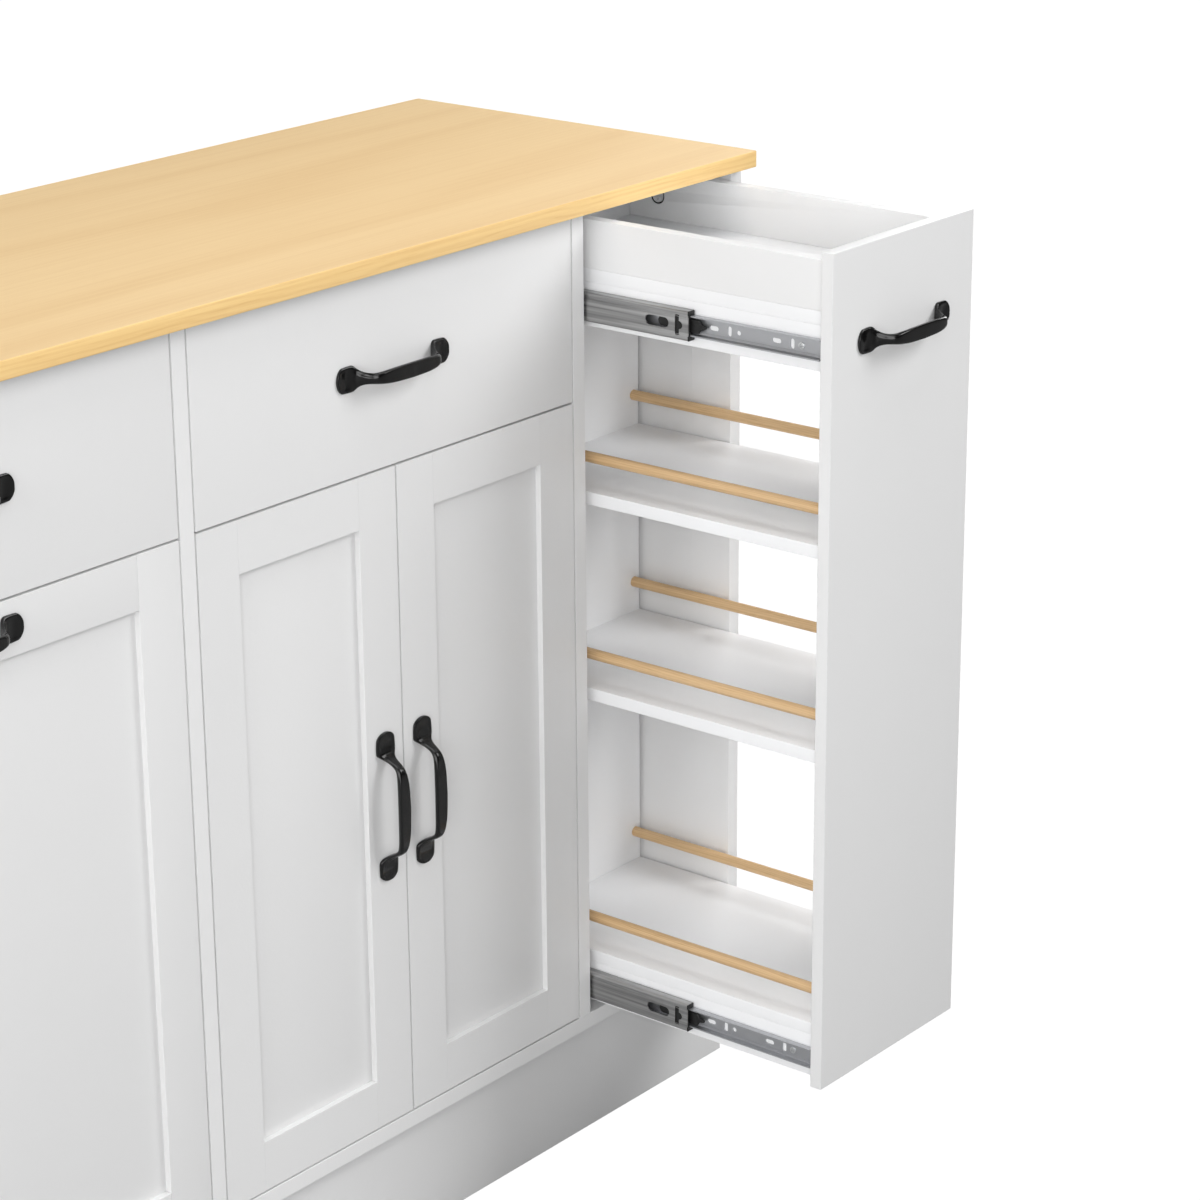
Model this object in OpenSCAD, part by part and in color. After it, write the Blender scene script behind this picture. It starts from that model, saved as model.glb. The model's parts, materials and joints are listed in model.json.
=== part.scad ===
// Kitchen island with two drawers, a pull-out caddy, a pair of doors and a pull-out rack.
// Millimetres. +X runs to the right along the front, +Y to the back, +Z up. The origin is on
// the floor, under the middle plinth brace. The rack stands part of the way out.

/* [Carcass] */
// Clear width of each of the two wide bays
bay_w = 468; // [400:1:580]
// Clear width of the bay that the rack runs in
rack_bay_w = 215; // [175:1:270]
// Depth of the carcass, from its front edge to its back edge
carcass_d = 396; // [392:1:480]
// Height of the worktop's upper face above the floor
total_h = 920; // [760:1:1120]
// Thickness of the carcass boards
board_t = 15; // [13:0.5:20]
// Thickness of the back panels
back_t = 5; // [3:0.5:6]
// Width of the rebate that a back panel lies in
rebate_w = 7; // [5:0.5:7]
// Height of the plinth, from the floor to the bottom board
plinth_h = 119; // [60:1:150]
// Setback of the plinth behind the front edge of the bottom board
plinth_recess = 20; // [0:1:60]
// Thickness of the worktop
top_t = 15; // [12:0.5:38]
// How far the worktop stands out in front of the carcass
front_overhang = 18; // [0:1:60]
// Width of the rails that lie flat under the worktop and under the drawers
rail_w = 60; // [40:1:90]

/* [Fronts] */
// Gap around each inset front
front_gap = 2; // [1:0.5:3]
// Thickness of the drawer fronts and of the door frames
front_t = 15; // [14:0.5:20]
// Height of the drawer fronts
drawer_front_h = 168; // [150:1:200]
// Width of the stiles and rails of the door frames
stile_w = 45; // [43:1:70]
// Thickness of the panels in the door frames
panel_t = 4; // [3:0.5:5]
// How far a door panel lies behind the face of its frame
panel_recess = 6; // [4:0.5:7]
// Depth of the grooves that hold panels and drawer bottoms
groove_d = 5; // [3:0.5:5]

/* [Drawers and caddy] */
// Thickness of the boards in the drawer boxes and the caddy
box_t = 12; // [10:0.5:15]
// Height of the drawer boxes
drawer_box_h = 110; // [85:1:125]
// Height of a drawer box's lower edge above that of its front
drawer_box_lift = 22; // [18:1:24]
// Thickness of the drawer bottoms
drawer_bottom_t = 4; // [3:0.5:6]
// Height of the slides' middle above the lower edge of a drawer box
drawer_slide_z = 45; // [36:1:60]
// Height of the caddy's walls
caddy_h = 120; // [90:1:200]
// Height of the caddy's lower edge above the bottom board
caddy_lift = 8; // [4:1:20]

/* [Rack] */
// How far the rack stands out of the carcass at rest
rack_out = 264; // [0:1:345]
// Thickness of the rack's boards
rack_t = 12; // [10:0.5:15]
// How much longer the rack's shelves are than its slides and their gap at the front
rack_spare = 5.7; // [0:0.1:10]
// Gap between the rack and the side panel
rack_side_gap = 3.5; // [1:0.5:5]
// Height of the rack's lower edge above the bottom board
rack_lift = 7; // [4:1:15]
// Height of the rack's rails
rack_rail_h = 40; // [38:1:60]
// Height of the rack's back top edge below the top edge of its front
rack_back_drop = 10; // [4:1:40]
// Height of the walls of the rack's tray
tray_wall_h = 44; // [30:1:70]
// Depth of the upper shelf's top below the tray's board
upper_shelf_drop = 193.6; // [120:0.1:240]
// Height of the middle shelf above the halfway line between the bottom and the upper shelf
middle_shelf_offset = 37.4; // [-60:0.1:60]
// Diameter of the wooden rods
rod_d = 10; // [8:1:14]
// Height of a rod's middle above its shelf
rod_rise = 30; // [20:1:45]
// Distance of a rod's middle from the side of the rack
rod_inset = 8; // [7.5:0.5:20]
// How deep a rod is let into the front and the back
rod_seat = 6; // [3:0.5:8]

/* [Slides] */
// Length of the telescopic slides
slide_len = 350; // [290:1:352]
// Height of the slide's cabinet member
slide_h = 35; // [33:0.5:38]
// Distance from the carcass board to the moving unit, which the slide fills
slide_t = 12.7; // [12.5:0.1:16]
// Thickness of the slides' steel
slide_wall = 1.2; // [1:0.1:1.3]
// Distance of a slide's front end behind the front that it carries
slide_gap = 3; // [2:0.5:8]
// Length of the release lever in front of its pivot
lever_reach = 30; // [20:1:34]

/* [Doors and hinges] */
// Diameter of the hinge cups
cup_d = 35; // [35:0.5:36]
// Depth of the hinge cups
cup_depth = 11.5; // [10:0.1:11.5]
// Distance from a door's edge to its hinge cup
cup_tab = 3.5; // [3:0.1:4.2]
// Distance of the hinges from the ends of the doors
hinge_end = 100; // [70:1:140]
// Length of the hinge arms behind the doors
hinge_arm_len = 62; // [50:1:80]

/* [Shelf] */
// Height of the loose shelf above the bottom board
shelf_rise = 290; // [150:1:340]
// Setback of the loose shelf behind the doors
shelf_setback = 25; // [10:1:60]
// Diameter of the shelf pins
pin_d = 5; // [4:0.5:6]

/* [Pulls] */
// Distance between the two screws of a pull
pull_centres = 112; // [90:1:120]
// How far the bar of a pull stands out from the front
pull_reach = 23; // [20:1:40]
// Width of the bar of a pull
pull_bar_w = 11; // [8:0.5:14]
// Length of the foot plates of a pull
pull_foot_l = 24.5; // [20:0.5:32]
// Width of the foot plates of a pull
pull_foot_w = 22; // [14:0.5:26]

/* [Fittings] */
// Diameter of the cam locks
cam_d = 15; // [12:0.5:16]
// Depth of the cam locks
cam_depth = 9; // [8:0.5:9.5]
// Distance from the middle of a cam lock to the joint that it closes
cam_edge = 33; // [26:1:40]
// Diameter of the screws in the pulls
screw_d = 4; // [3:0.5:5]

/* [Hidden] */
$fn = 48;
fit = 0.1;          // clearance around what sits in a hole or a groove
eps = 0.5;          // how far a cut runs past the face that it opens
cab_w = 2 * bay_w + rack_bay_w + 4 * board_t;
x_left = -cab_w / 2;
x_right = cab_w / 2;
bay_a0 = x_left + board_t;
bay_a1 = bay_a0 + bay_w;
bay_b0 = bay_a1 + board_t;
bay_b1 = bay_b0 + bay_w;
bay_c0 = bay_b1 + board_t;
bay_c1 = bay_c0 + rack_bay_w;
y_back = (carcass_d + front_overhang) / 2;
y_front = y_back - carcass_d;
y_inside = y_back - back_t;
z_floor_board = plinth_h + board_t;
z_cab = total_h - top_t;
front_w = bay_w - 2 * front_gap;
drawer_z1 = z_cab - front_gap;
drawer_z0 = drawer_z1 - drawer_front_h;
door_z0 = z_floor_board + front_gap;
door_z1 = drawer_z0 - front_gap;
door_h = door_z1 - door_z0;
door_w = (bay_w - 3 * front_gap) / 2;
box_w = bay_w - 2 * slide_t;
box_z0 = drawer_z0 + drawer_box_lift;
box_slide_z = box_z0 + drawer_slide_z;
caddy_z0 = z_floor_board + caddy_lift;
caddy_slide_z = caddy_z0 + caddy_h - slide_h;
rail_gap = 1;       // gap between a front and the rail behind it, and above the rail
door_a = bay_b0 + front_gap;
door_b = bay_b1 - front_gap - door_w;
seam = 0.15;        // open seam between a stile and a rail
box_groove_z = 10;  // height of a drawer's bottom above the box's lower edge

// Rack
rack_y0 = y_front - rack_out;
rack_y1 = rack_y0 + rack_t;
rack_y2 = rack_y1 + slide_gap + slide_len + rack_spare;
rack_x0 = bay_c0 + slide_t;
rack_x1 = bay_c1 - rack_side_gap;
rack_w = rack_x1 - rack_x0;
rack_z0 = z_floor_board + rack_lift;
rack_front_z1 = z_cab - front_gap;
rack_z1 = rack_front_z1 - rack_back_drop;
tray_z1 = rack_z1 - tray_wall_h;
tray_z0 = tray_z1 - rack_t;
bottom_shelf_z = rack_z0 + rack_rail_h + rack_t;
upper_shelf_z = tray_z0 - upper_shelf_drop;
middle_shelf_z = (bottom_shelf_z + upper_shelf_z) / 2 + middle_shelf_offset;
shelf_z = [bottom_shelf_z, middle_shelf_z, upper_shelf_z];
rack_slide_zs = [tray_z0 - rack_rail_h / 2, rack_z0 + rack_rail_h / 2];
rack_cam_y = rack_y2 - cam_edge;
rack_cam_z = tray_z1 + tray_wall_h / 2;

// Slides: distances across the slide from the carcass board to the moving unit
ball_gap = 3;       // space for the balls between two members
mid_h = slide_h - 2 * (slide_wall + ball_gap);
inner_h = mid_h - 2 * (slide_wall + ball_gap);
outer_reach = slide_t - 2.3;    // how far the cabinet member's flanges reach
mid_x = 2.4;        // face of the intermediate member's web
mid_reach = slide_t - slide_wall - fit - mid_x;  // how far its flanges reach from there
inner_reach = slide_t - 5.2;    // how far the inner member's flanges reach back
lip_h = 1.5;        // inward lip of the cabinet member
hole_r = 2.2;       // round holes in the inner member
slot_w = 4;         // width of its slots
slot_l = 9;         // length of its slots
hole_rows = [22.5, 88.5];  // round holes behind the front end of the inner member
slot_step = 9.7;    // upright slot behind a round hole
long_step = 26.2;   // level slot behind a round hole
rear_hole = 20;     // last round hole in front of the inner member's rear end
outer_holes = [37, 165, slide_len - 40];  // screw holes behind the cabinet member's front end
mid_slot = [25, 25.5, 9];  // start, length and height of the intermediate member's slot
lever_tip = 119.5;  // front end of the release lever behind that of the inner member
lever_y = lever_tip + lever_reach;
pivot_r = 2;        // radius of the lever's pivot
lever_nose = 6;     // length of the lever's narrow nose
lever_rise = 2;     // length of the slope between the nose and the block behind it
lever_block = 12;   // length of the block
lever_tail = 22;    // length of the lever behind its pivot
lever_x = 6.4;      // lever's face across the slide
lever_t = 2;
mid_back = 4.3;     // the intermediate member's front end lies this far behind the other two's
clip_l = 22;        // length of the end clip inside the intermediate member
clip_nose = 1;      // how far it stands out in front
mid_out = rack_out / 2;

// Hinges
cup_x = cup_tab + cup_d / 2;
flange_t = 1.2;
flange_r = cup_d / 2 + 2;
flange_h = 56;
flange_w = 14;
arm_w = 12;
arm_front = flange_t + 0.8;  // gap from the door's back to the arm
arm_start = cup_x - 5;       // where the arm's nose begins
arm_stop = cup_x + 4;        // where it ends
plate_end = 4;               // how far the plate runs on behind the arm
plate_t = 3;
plate_h = 50;
plate_l = 34;
hinge_zs = [door_z0 + hinge_end, door_z1 - hinge_end];

// Pulls
sag_share = 0.2;    // drop of the bar's ends below its middle, as a share of its reach
foot_t = 3;
post_d = 9;
bar_t = 7;
screw_head_d = 8;
screw_head_t = 2.2;

// Shelf pins
pin_in = 8;
pin_out = 10;
pin_hole = 9;
pin_step = 32;
shelf_gap = 1;
loose_z0 = z_floor_board + shelf_rise;
loose_y0 = y_front + front_t + shelf_setback;
loose_y1 = y_inside - shelf_gap;
pin_inset = 37;     // distance of the pins from the shelf's front and back edges
pin_ys = [loose_y0 + pin_inset, loose_y1 - pin_inset];

// Cam locks: how far from the front and the back of the carcass
cam_in = 50;
cam_ys = [y_front + cam_in, y_inside - cam_in];
cam_zs = [z_floor_board + cam_edge, z_cab - cam_edge];

// ---------------------------------------------------------------- shared shapes

// A box between two corners
module block(low, high) {
    translate(low) cube(high - low);
}

// A round bar or hole along X, from x0 to x1
module rod_x(x0, x1, y, z, r) {
    translate([x0, y, z]) rotate([0, 90, 0]) cylinder(h = x1 - x0, r = r);
}

// A round bar or hole along Y, from y0 to y1
module rod_y(x, y0, y1, z, r) {
    translate([x, y1, z]) rotate([90, 0, 0]) cylinder(h = y1 - y0, r = r);
}

// A profile in the XZ plane drawn out along Y, from y0 to y1
module along_y(y0, y1) {
    translate([0, y1, 0]) rotate([90, 0, 0]) linear_extrude(height = y1 - y0) children();
}

// The pocket for a cam lock in a board's face: side is 1 where the face looks to +X
module cam_pocket(x, side, y, z) {
    x0 = side > 0 ? x - cam_depth - fit : x - eps;
    x1 = side > 0 ? x + eps : x + cam_depth + fit;
    rod_x(x0, x1, y, z, cam_d / 2 + fit);
}

// A cam lock, with a cross slot in its face
module cam_lock(x, side, y, z) {
    slot_depth = 2;
    slot_half = cam_d / 4;
    slot_thin = 0.9;
    x0 = side > 0 ? x - cam_depth : x;
    f0 = side > 0 ? x - slot_depth : x - eps;
    f1 = side > 0 ? x + eps : x + slot_depth;
    difference() {
        rod_x(x0, x0 + cam_depth, y, z, cam_d / 2);
        block([f0, y - slot_half, z - slot_thin], [f1, y + slot_half, z + slot_thin]);
        block([f0, y - slot_thin, z - slot_half], [f1, y + slot_thin, z + slot_half]);
    }
}

// ---------------------------------------------------------------- pulls

// A pull lying along X with its feet on the plane z = 0 and its bar at z = pull_reach
module pull_casting() {
    half = pull_centres / 2;
    bar_r = (half * half) / (2 * pull_sag()) + pull_sag() / 2;
    sweep = 2 * asin(half / bar_r);
    difference() {
        union() {
            for (s = [-1, 1]) {
                translate([s * half, 0, 0]) pull_foot(s);
                translate([s * half, 0, 0]) cylinder(h = pull_post_h(), d = post_d);
            }
            translate([0, 0, pull_reach - bar_t / 2 - bar_r])
                rotate([-90, 0, 0]) rotate([0, 0, -90 - sweep / 2])
                    rotate_extrude(angle = sweep, $fn = 96)
                        translate([bar_r, 0]) scale([bar_t / pull_bar_w, 1]) circle(d = pull_bar_w);
        }
        for (s = [-1, 1])
            translate([s * half, 0, -eps]) cylinder(h = pull_post_h() / 2 + eps, d = screw_d + fit);
    }
}

// How far the bar's ends lie below its middle
function pull_sag() = pull_reach * sag_share;

// Height of the posts, which end inside the bar
function pull_post_h() = pull_reach - pull_sag() - bar_t / 2;

// A foot plate with a round end that points outwards
module pull_foot(side) {
    tip_r = pull_foot_w / 2;
    heel_r = 5;
    heel_x = -side * (pull_foot_l / 2 - heel_r);
    linear_extrude(height = foot_t) {
        translate([side * (pull_foot_l / 2 - tip_r), 0]) circle(r = tip_r);
        translate([heel_x, 0]) circle(r = heel_r);
        polygon([[side * (pull_foot_l / 2 - tip_r), tip_r], [side * (pull_foot_l / 2 - tip_r), -tip_r],
                 [heel_x, -heel_r], [heel_x, heel_r]]);
    }
}

// The two screws of a pull, with their heads behind a front of thickness depth
module pull_screws(depth) {
    grip = pull_post_h() / 2 - 1;
    for (s = [-1, 1])
        translate([s * pull_centres / 2, 0, 0]) {
            translate([0, 0, -depth]) cylinder(h = depth + grip, d = screw_d);
            translate([0, 0, -depth - screw_head_t]) cylinder(h = screw_head_t, d = screw_head_d);
        }
}

// Puts a pull on a front that faces -Y, level or upright, with its middle at x, y, z
module on_front(x, y, z, upright = false) {
    translate([x, y, z]) rotate([90, upright ? 90 : 0, 0]) children();
}

// The holes for a pull's screws in a front of thickness depth
module pull_holes(depth) {
    for (s = [-1, 1])
        translate([s * pull_centres / 2, 0, -depth - eps])
            cylinder(h = depth + 2 * eps, d = screw_d + 2 * fit);
}

module pull_with_screws(x, y, z, depth, upright = false) {
    on_front(x, y, z, upright) {
        color("dimgray") pull_casting();
        color("silver") pull_screws(depth);
    }
}

// ---------------------------------------------------------------- slides

// A channel drawn in the XZ plane: its web starts at x0, its flanges reach to x1, and it
// is h high; lip adds inward lips at the flanges' ends
module channel(x0, x1, h, lip = 0) {
    dir = x1 > x0 ? 1 : -1;
    difference() {
        translate([min(x0, x1), -h / 2]) square([abs(x1 - x0), h]);
        translate([min(x0 + dir * slide_wall, x1 + dir * eps), -h / 2 + slide_wall])
            square([abs(x1 - x0) - slide_wall + eps, h - 2 * slide_wall]);
    }
    if (lip > 0)
        for (z = [h / 2 - slide_wall - lip, slide_wall - h / 2])
            translate([min(x1, x1 - dir * slide_wall), z]) square([slide_wall, lip]);
}

// Places a slide part on a carcass face at x: side is 1 where the moving unit is to +X
module at_slide(x, side, y, z) {
    translate([x, y, z]) mirror([side > 0 ? 0 : 1, 0, 0]) children();
}

// Cabinet member, from its front end at y = 0
module slide_outer() {
    difference() {
        along_y(0, slide_len) channel(0, outer_reach, slide_h, lip_h);
        for (y = outer_holes)
            rod_x(-eps, slide_wall + eps, y, 0, hole_r);
    }
}

// Intermediate member
module slide_mid() {
    notch_y = [13, 18.4];
    notch_h = 15;
    difference() {
        along_y(mid_back, slide_len) channel(mid_x, mid_x + mid_reach, mid_h);
        slot_cut(mid_x, mid_slot[0], mid_slot[1], mid_slot[2]);
        block([mid_x - eps, notch_y[0], -notch_h / 2], [mid_x + slide_wall + eps, notch_y[1], notch_h / 2]);
    }
}

// A round-ended slot along Y through a web whose near face is at x
module slot_cut(x, y0, length, height) {
    r = height / 2;
    for (y = [y0 + r, y0 + length - r])
        rod_x(x - eps, x + slide_wall + eps, y, 0, r);
    block([x - eps, y0 + r, -r], [x + slide_wall + eps, y0 + length - r, r]);
}

// Inner member, with a round hole, an upright slot and a level slot in each group
module slide_inner() {
    web = slide_t - slide_wall;
    difference() {
        along_y(0, slide_len) channel(slide_t, slide_t - inner_reach, inner_h);
        for (y = hole_rows) {
            rod_x(web - eps, slide_t + eps, y, 0, hole_r);
            block([web - eps, y + slot_step - slot_w / 2, -slot_l / 2],
                  [slide_t + eps, y + slot_step + slot_w / 2, slot_l / 2]);
            block([web - eps, y + long_step - slot_l / 2, -slot_w / 2],
                  [slide_t + eps, y + long_step + slot_l / 2, slot_w / 2]);
        }
        rod_x(web - eps, slide_t + eps, slide_len - rear_hole, 0, hole_r);
        rod_x(web - eps, slide_t + eps, lever_y, 0, pivot_r + fit / 2);
    }
}

// Plastic clip in the front end of the intermediate member
module slide_clip() {
    wall = 1;
    x0 = mid_x + slide_wall + fit;
    h = mid_h - 2 * slide_wall - 2 * fit;
    along_y(mid_back - clip_nose, mid_back + clip_l)
        difference() {
            translate([x0, -h / 2]) square([mid_reach - slide_wall, h]);
            translate([x0 + wall, -h / 2 + wall]) square([mid_reach, h - 2 * wall]);
        }
    along_y(mid_back - clip_nose, mid_back - fit)
        difference() {
            translate([mid_x, -mid_h / 2]) square([mid_reach, mid_h]);
            translate([x0 + wall, -h / 2 + wall]) square([mid_reach, h - 2 * wall]);
        }
}

// Release lever in the inner member: a narrow nose, a block as high as the member leaves it
// room to swing, and a tail with a round end
module slide_lever() {
    nose = [1.2, 2.2];
    block_half = 6;
    tail_half = 4.5;
    block_y = lever_tip + lever_nose + lever_rise;
    half_outline = [[lever_tip, nose[0]], [lever_tip + lever_nose, nose[1]], [block_y, block_half],
                    [block_y + lever_block, block_half], [block_y + lever_block + lever_rise, tail_half],
                    [lever_y + lever_tail - tail_half, tail_half]];
    lower = [for (i = [0 : len(half_outline) - 1]) [half_outline[i][0], -half_outline[i][1]]];
    upper = [for (i = [len(half_outline) - 1 : -1 : 0]) half_outline[i]];
    translate([lever_x, 0, 0]) rotate([90, 0, 90]) linear_extrude(height = lever_t) {
        polygon(concat(lower, upper));
        translate([lever_y + lever_tail - tail_half, 0]) circle(r = tail_half);
    }
    rod_x(lever_x, slide_t, lever_y, 0, pivot_r);
}

// A pair of slide members in a wide bay, one on each carcass face
module slide_pair(x0, x1, z) {
    y = y_front + front_t + slide_gap;
    at_slide(x0, 1, y, z) children();
    at_slide(x1, -1, y, z) children();
}

// ---------------------------------------------------------------- carcass

module worktop() {
    color("burlywood")
        block([x_left, y_front - front_overhang, z_cab], [x_right, y_back, total_h]);
}

// An upright board between x0 and x0 + board_t
module upright_board(x0, y1) {
    block([x0, y_front, z_floor_board], [x0 + board_t, y1, z_cab]);
}

// The rebate for a back panel in the rear edge of an end board: side is 1 where it looks to +X
module end_rebate(x, side) {
    x0 = side > 0 ? x - rebate_w : x - eps;
    x1 = side > 0 ? x + eps : x + rebate_w;
    block([x0, y_inside, z_floor_board - eps], [x1, y_back + eps, z_cab + eps]);
}

module cam_pockets(x, side) {
    for (y = cam_ys, z = cam_zs)
        cam_pocket(x, side, y, z);
}

// Rows of holes for the shelf pins in a face at x
module pin_holes(x, side) {
    x0 = side > 0 ? x - pin_hole : x - eps;
    x1 = side > 0 ? x + eps : x + pin_hole;
    for (y = pin_ys, i = [-1, 0, 1])
        rod_x(x0, x1, y, loose_z0 - pin_d / 2 + i * pin_step, pin_d / 2 + fit / 2);
}

module side_panel_left() {
    color("whitesmoke") difference() {
        upright_board(x_left, y_back);
        end_rebate(bay_a0, 1);
        cam_pockets(bay_a0, 1);
    }
}

module side_panel_right() {
    color("whitesmoke") difference() {
        upright_board(bay_c1, y_back);
        end_rebate(bay_c1, -1);
        cam_pockets(bay_c1, -1);
    }
}

module divider_left() {
    color("white") difference() {
        upright_board(bay_a1, y_inside);
        cam_pockets(bay_b0, 1);
        pin_holes(bay_b0, 1);
    }
}

module divider_right() {
    color("white") difference() {
        upright_board(bay_b1, y_inside);
        cam_pockets(bay_b1, -1);
        pin_holes(bay_b1, -1);
    }
}

module bottom_board() {
    color("gainsboro") difference() {
        block([x_left, y_front, plinth_h], [x_right, y_back, z_floor_board]);
        block([bay_a0 - rebate_w, y_inside, z_floor_board - rebate_w],
              [bay_c1 + rebate_w, y_back + eps, z_floor_board + eps]);
    }
}

module plinth_front() {
    y = y_front + plinth_recess;
    color("gainsboro") block([x_left, y, 0], [x_right, y + board_t, plinth_h]);
}

module plinth_back() {
    color("gainsboro") block([x_left, y_back - board_t, 0], [x_right, y_back, plinth_h]);
}

// A brace at each end and one in the middle, between the two plinth boards
module plinth_braces() {
    for (x = [x_left, -board_t / 2, x_right - board_t])
        color("gainsboro")
            block([x, y_front + plinth_recess + board_t, 0],
                  [x + board_t, y_back - board_t, plinth_h]);
}

// One back panel for each bay; they meet in the middle of the dividers' rear edges
module back_panels() {
    seams = [bay_a0 - rebate_w + fit, bay_a1 + board_t / 2, bay_b1 + board_t / 2,
             bay_c1 + rebate_w - fit];
    for (i = [0 : 2])
        color("snow")
            block([seams[i] + (i > 0 ? eps / 2 : 0), y_inside, z_floor_board - rebate_w + fit],
                  [seams[i + 1] - (i < 2 ? eps / 2 : 0), y_back, z_cab]);
}

// Flat rails under the worktop, and one behind the line between each drawer and its doors
module carcass_rails() {
    y0 = y_front + front_t + rail_gap;
    for (bay = [[bay_a0, bay_a1], [bay_b0, bay_b1]])
        color("white") {
            block([bay[0], y0, z_cab - board_t], [bay[1], y0 + rail_w, z_cab]);
            block([bay[0], y_inside - rail_w, z_cab - board_t], [bay[1], y_inside, z_cab]);
            block([bay[0], y0, drawer_z0 - rail_gap - board_t],
                  [bay[1], y0 + rail_w, drawer_z0 - rail_gap]);
        }
}

module shelf() {
    color("white")
        block([bay_b0 + shelf_gap, loose_y0, loose_z0],
              [bay_b1 - shelf_gap, loose_y1, loose_z0 + board_t]);
}

// Cam locks in the uprights, and the pins under the loose shelf
module carcass_fittings() {
    color("silver") {
        for (face = [[bay_a0, 1], [bay_b0, 1], [bay_b1, -1], [bay_c1, -1]])
            for (y = cam_ys, z = cam_zs)
                cam_lock(face[0], face[1], y, z);
        for (y = pin_ys) {
            rod_x(bay_b0 - pin_in, bay_b0 + pin_out, y, loose_z0 - pin_d / 2, pin_d / 2);
            rod_x(bay_b1 - pin_out, bay_b1 + pin_in, y, loose_z0 - pin_d / 2, pin_d / 2);
        }
    }
}

module slide_cabinet_members() {
    color("darkgray") {
        for (z = [box_slide_z, caddy_slide_z])
            slide_pair(bay_a0, bay_a1, z) slide_outer();
        slide_pair(bay_b0, bay_b1, box_slide_z) slide_outer();
        for (z = rack_slide_zs)
            at_slide(bay_c0, 1, y_front + rack_t + slide_gap, z) slide_outer();
    }
}

// ---------------------------------------------------------------- hinges

// The fixed arm of an inset hinge, on a carcass face at x
module hinge_arm() {
    nose_l = 7;
    y0 = front_t + arm_front;
    y1 = front_t + hinge_arm_len;
    block([0, y1 - plate_l, -plate_h / 2], [plate_t, y1, plate_h / 2]);
    block([plate_t, y0, -arm_w / 2], [arm_start, y1 - plate_end, arm_w / 2]);
    block([arm_start, y0, -arm_w / 2], [arm_stop, y0 + nose_l, arm_w / 2]);
}

module hinge_arms() {
    color("silver")
        for (z = hinge_zs) {
            translate([bay_b0, y_front, z]) hinge_arm();
            translate([bay_b1, y_front, z]) mirror([1, 0, 0]) hinge_arm();
        }
}

// A hinge cup in the back of a door, with its flange and the end of its link
module hinge_cup() {
    wall = 1;
    link_w = 8;
    y_bottom = front_t - cup_depth + fit;
    difference() {
        union() {
            rod_y(0, y_bottom, front_t + flange_t, 0, cup_d / 2 - fit);
            rod_y(0, front_t, front_t + flange_t, 0, flange_r);
            block([-flange_w / 2, front_t, -flange_h / 2], [flange_w / 2, front_t + flange_t, flange_h / 2]);
        }
        rod_y(0, y_bottom + wall, front_t + flange_t + eps, 0, cup_d / 2 - wall - fit);
        for (s = [-1, 1])
            rod_y(0, front_t - eps, front_t + flange_t + eps, s * (flange_h / 2 - 4), 1.6);
    }
    block([cup_d / 2 - 6, y_bottom + wall / 2, -link_w / 2],
          [cup_d / 2 - wall, front_t + flange_t / 2, link_w / 2]);
}

// ---------------------------------------------------------------- rack

module rack_front() {
    pull_z = (drawer_z0 + drawer_z1) / 2;
    color("whitesmoke") difference() {
        block([bay_c0 + front_gap, rack_y0, door_z0], [bay_c1 - front_gap, rack_y1, rack_front_z1]);
        on_front((bay_c0 + bay_c1) / 2, rack_y0, pull_z) pull_holes(rack_t);
        rod_set(rod_d / 2 + fit);
    }
}

module rack_back() {
    color("whitesmoke") difference() {
        block([rack_x0, rack_y2, rack_z0], [rack_x1, rack_y2 + rack_t, rack_z1]);
        rod_set(rod_d / 2 + fit);
    }
}

module rack_tray_walls() {
    color("white") {
        difference() {
            block([rack_x0, rack_y1, tray_z1], [rack_x0 + rack_t, rack_y2, rack_z1]);
            cam_pocket(rack_x0 + rack_t, 1, rack_cam_y, rack_cam_z);
        }
        difference() {
            block([rack_x1 - rack_t, rack_y1, tray_z1], [rack_x1, rack_y2, rack_z1]);
            cam_pocket(rack_x1 - rack_t, -1, rack_cam_y, rack_cam_z);
        }
    }
}

// A board of the rack that runs the whole width between its front and its back
module rack_board(z1) {
    block([rack_x0, rack_y1, z1 - rack_t], [rack_x1, rack_y2, z1]);
}

module rack_tray_board() {
    color("gainsboro") rack_board(tray_z1);
}

// The rails along both sides, which carry the slides on the left
module rack_rails() {
    for (z = rack_slide_zs, x = [rack_x0, rack_x1 - rack_t])
        color("whitesmoke")
            block([x, rack_y1, z - rack_rail_h / 2], [x + rack_t, rack_y2, z + rack_rail_h / 2]);
}

module rack_shelf_upper() {
    color("gainsboro") rack_board(shelf_z[2]);
}

module rack_shelf_middle() {
    color("gainsboro") rack_board(shelf_z[1]);
}

module rack_shelf_bottom() {
    color("gainsboro") rack_board(shelf_z[0]);
}

// A near and a far rod above each shelf; grow is what their seats add to the length
module rod_set(r, grow = fit) {
    for (z = shelf_z, x = [rack_x0 + rod_inset, rack_x1 - rod_inset])
        rod_y(x, rack_y1 - rod_seat - grow, rack_y2 + rod_seat + grow, z + rod_rise, r);
}

module rack_rods() {
    color("burlywood") rod_set(rod_d / 2, 0);
}

module rack_pull() {
    pull_z = (drawer_z0 + drawer_z1) / 2;
    color("dimgray") on_front((bay_c0 + bay_c1) / 2, rack_y0, pull_z) pull_casting();
}

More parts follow.
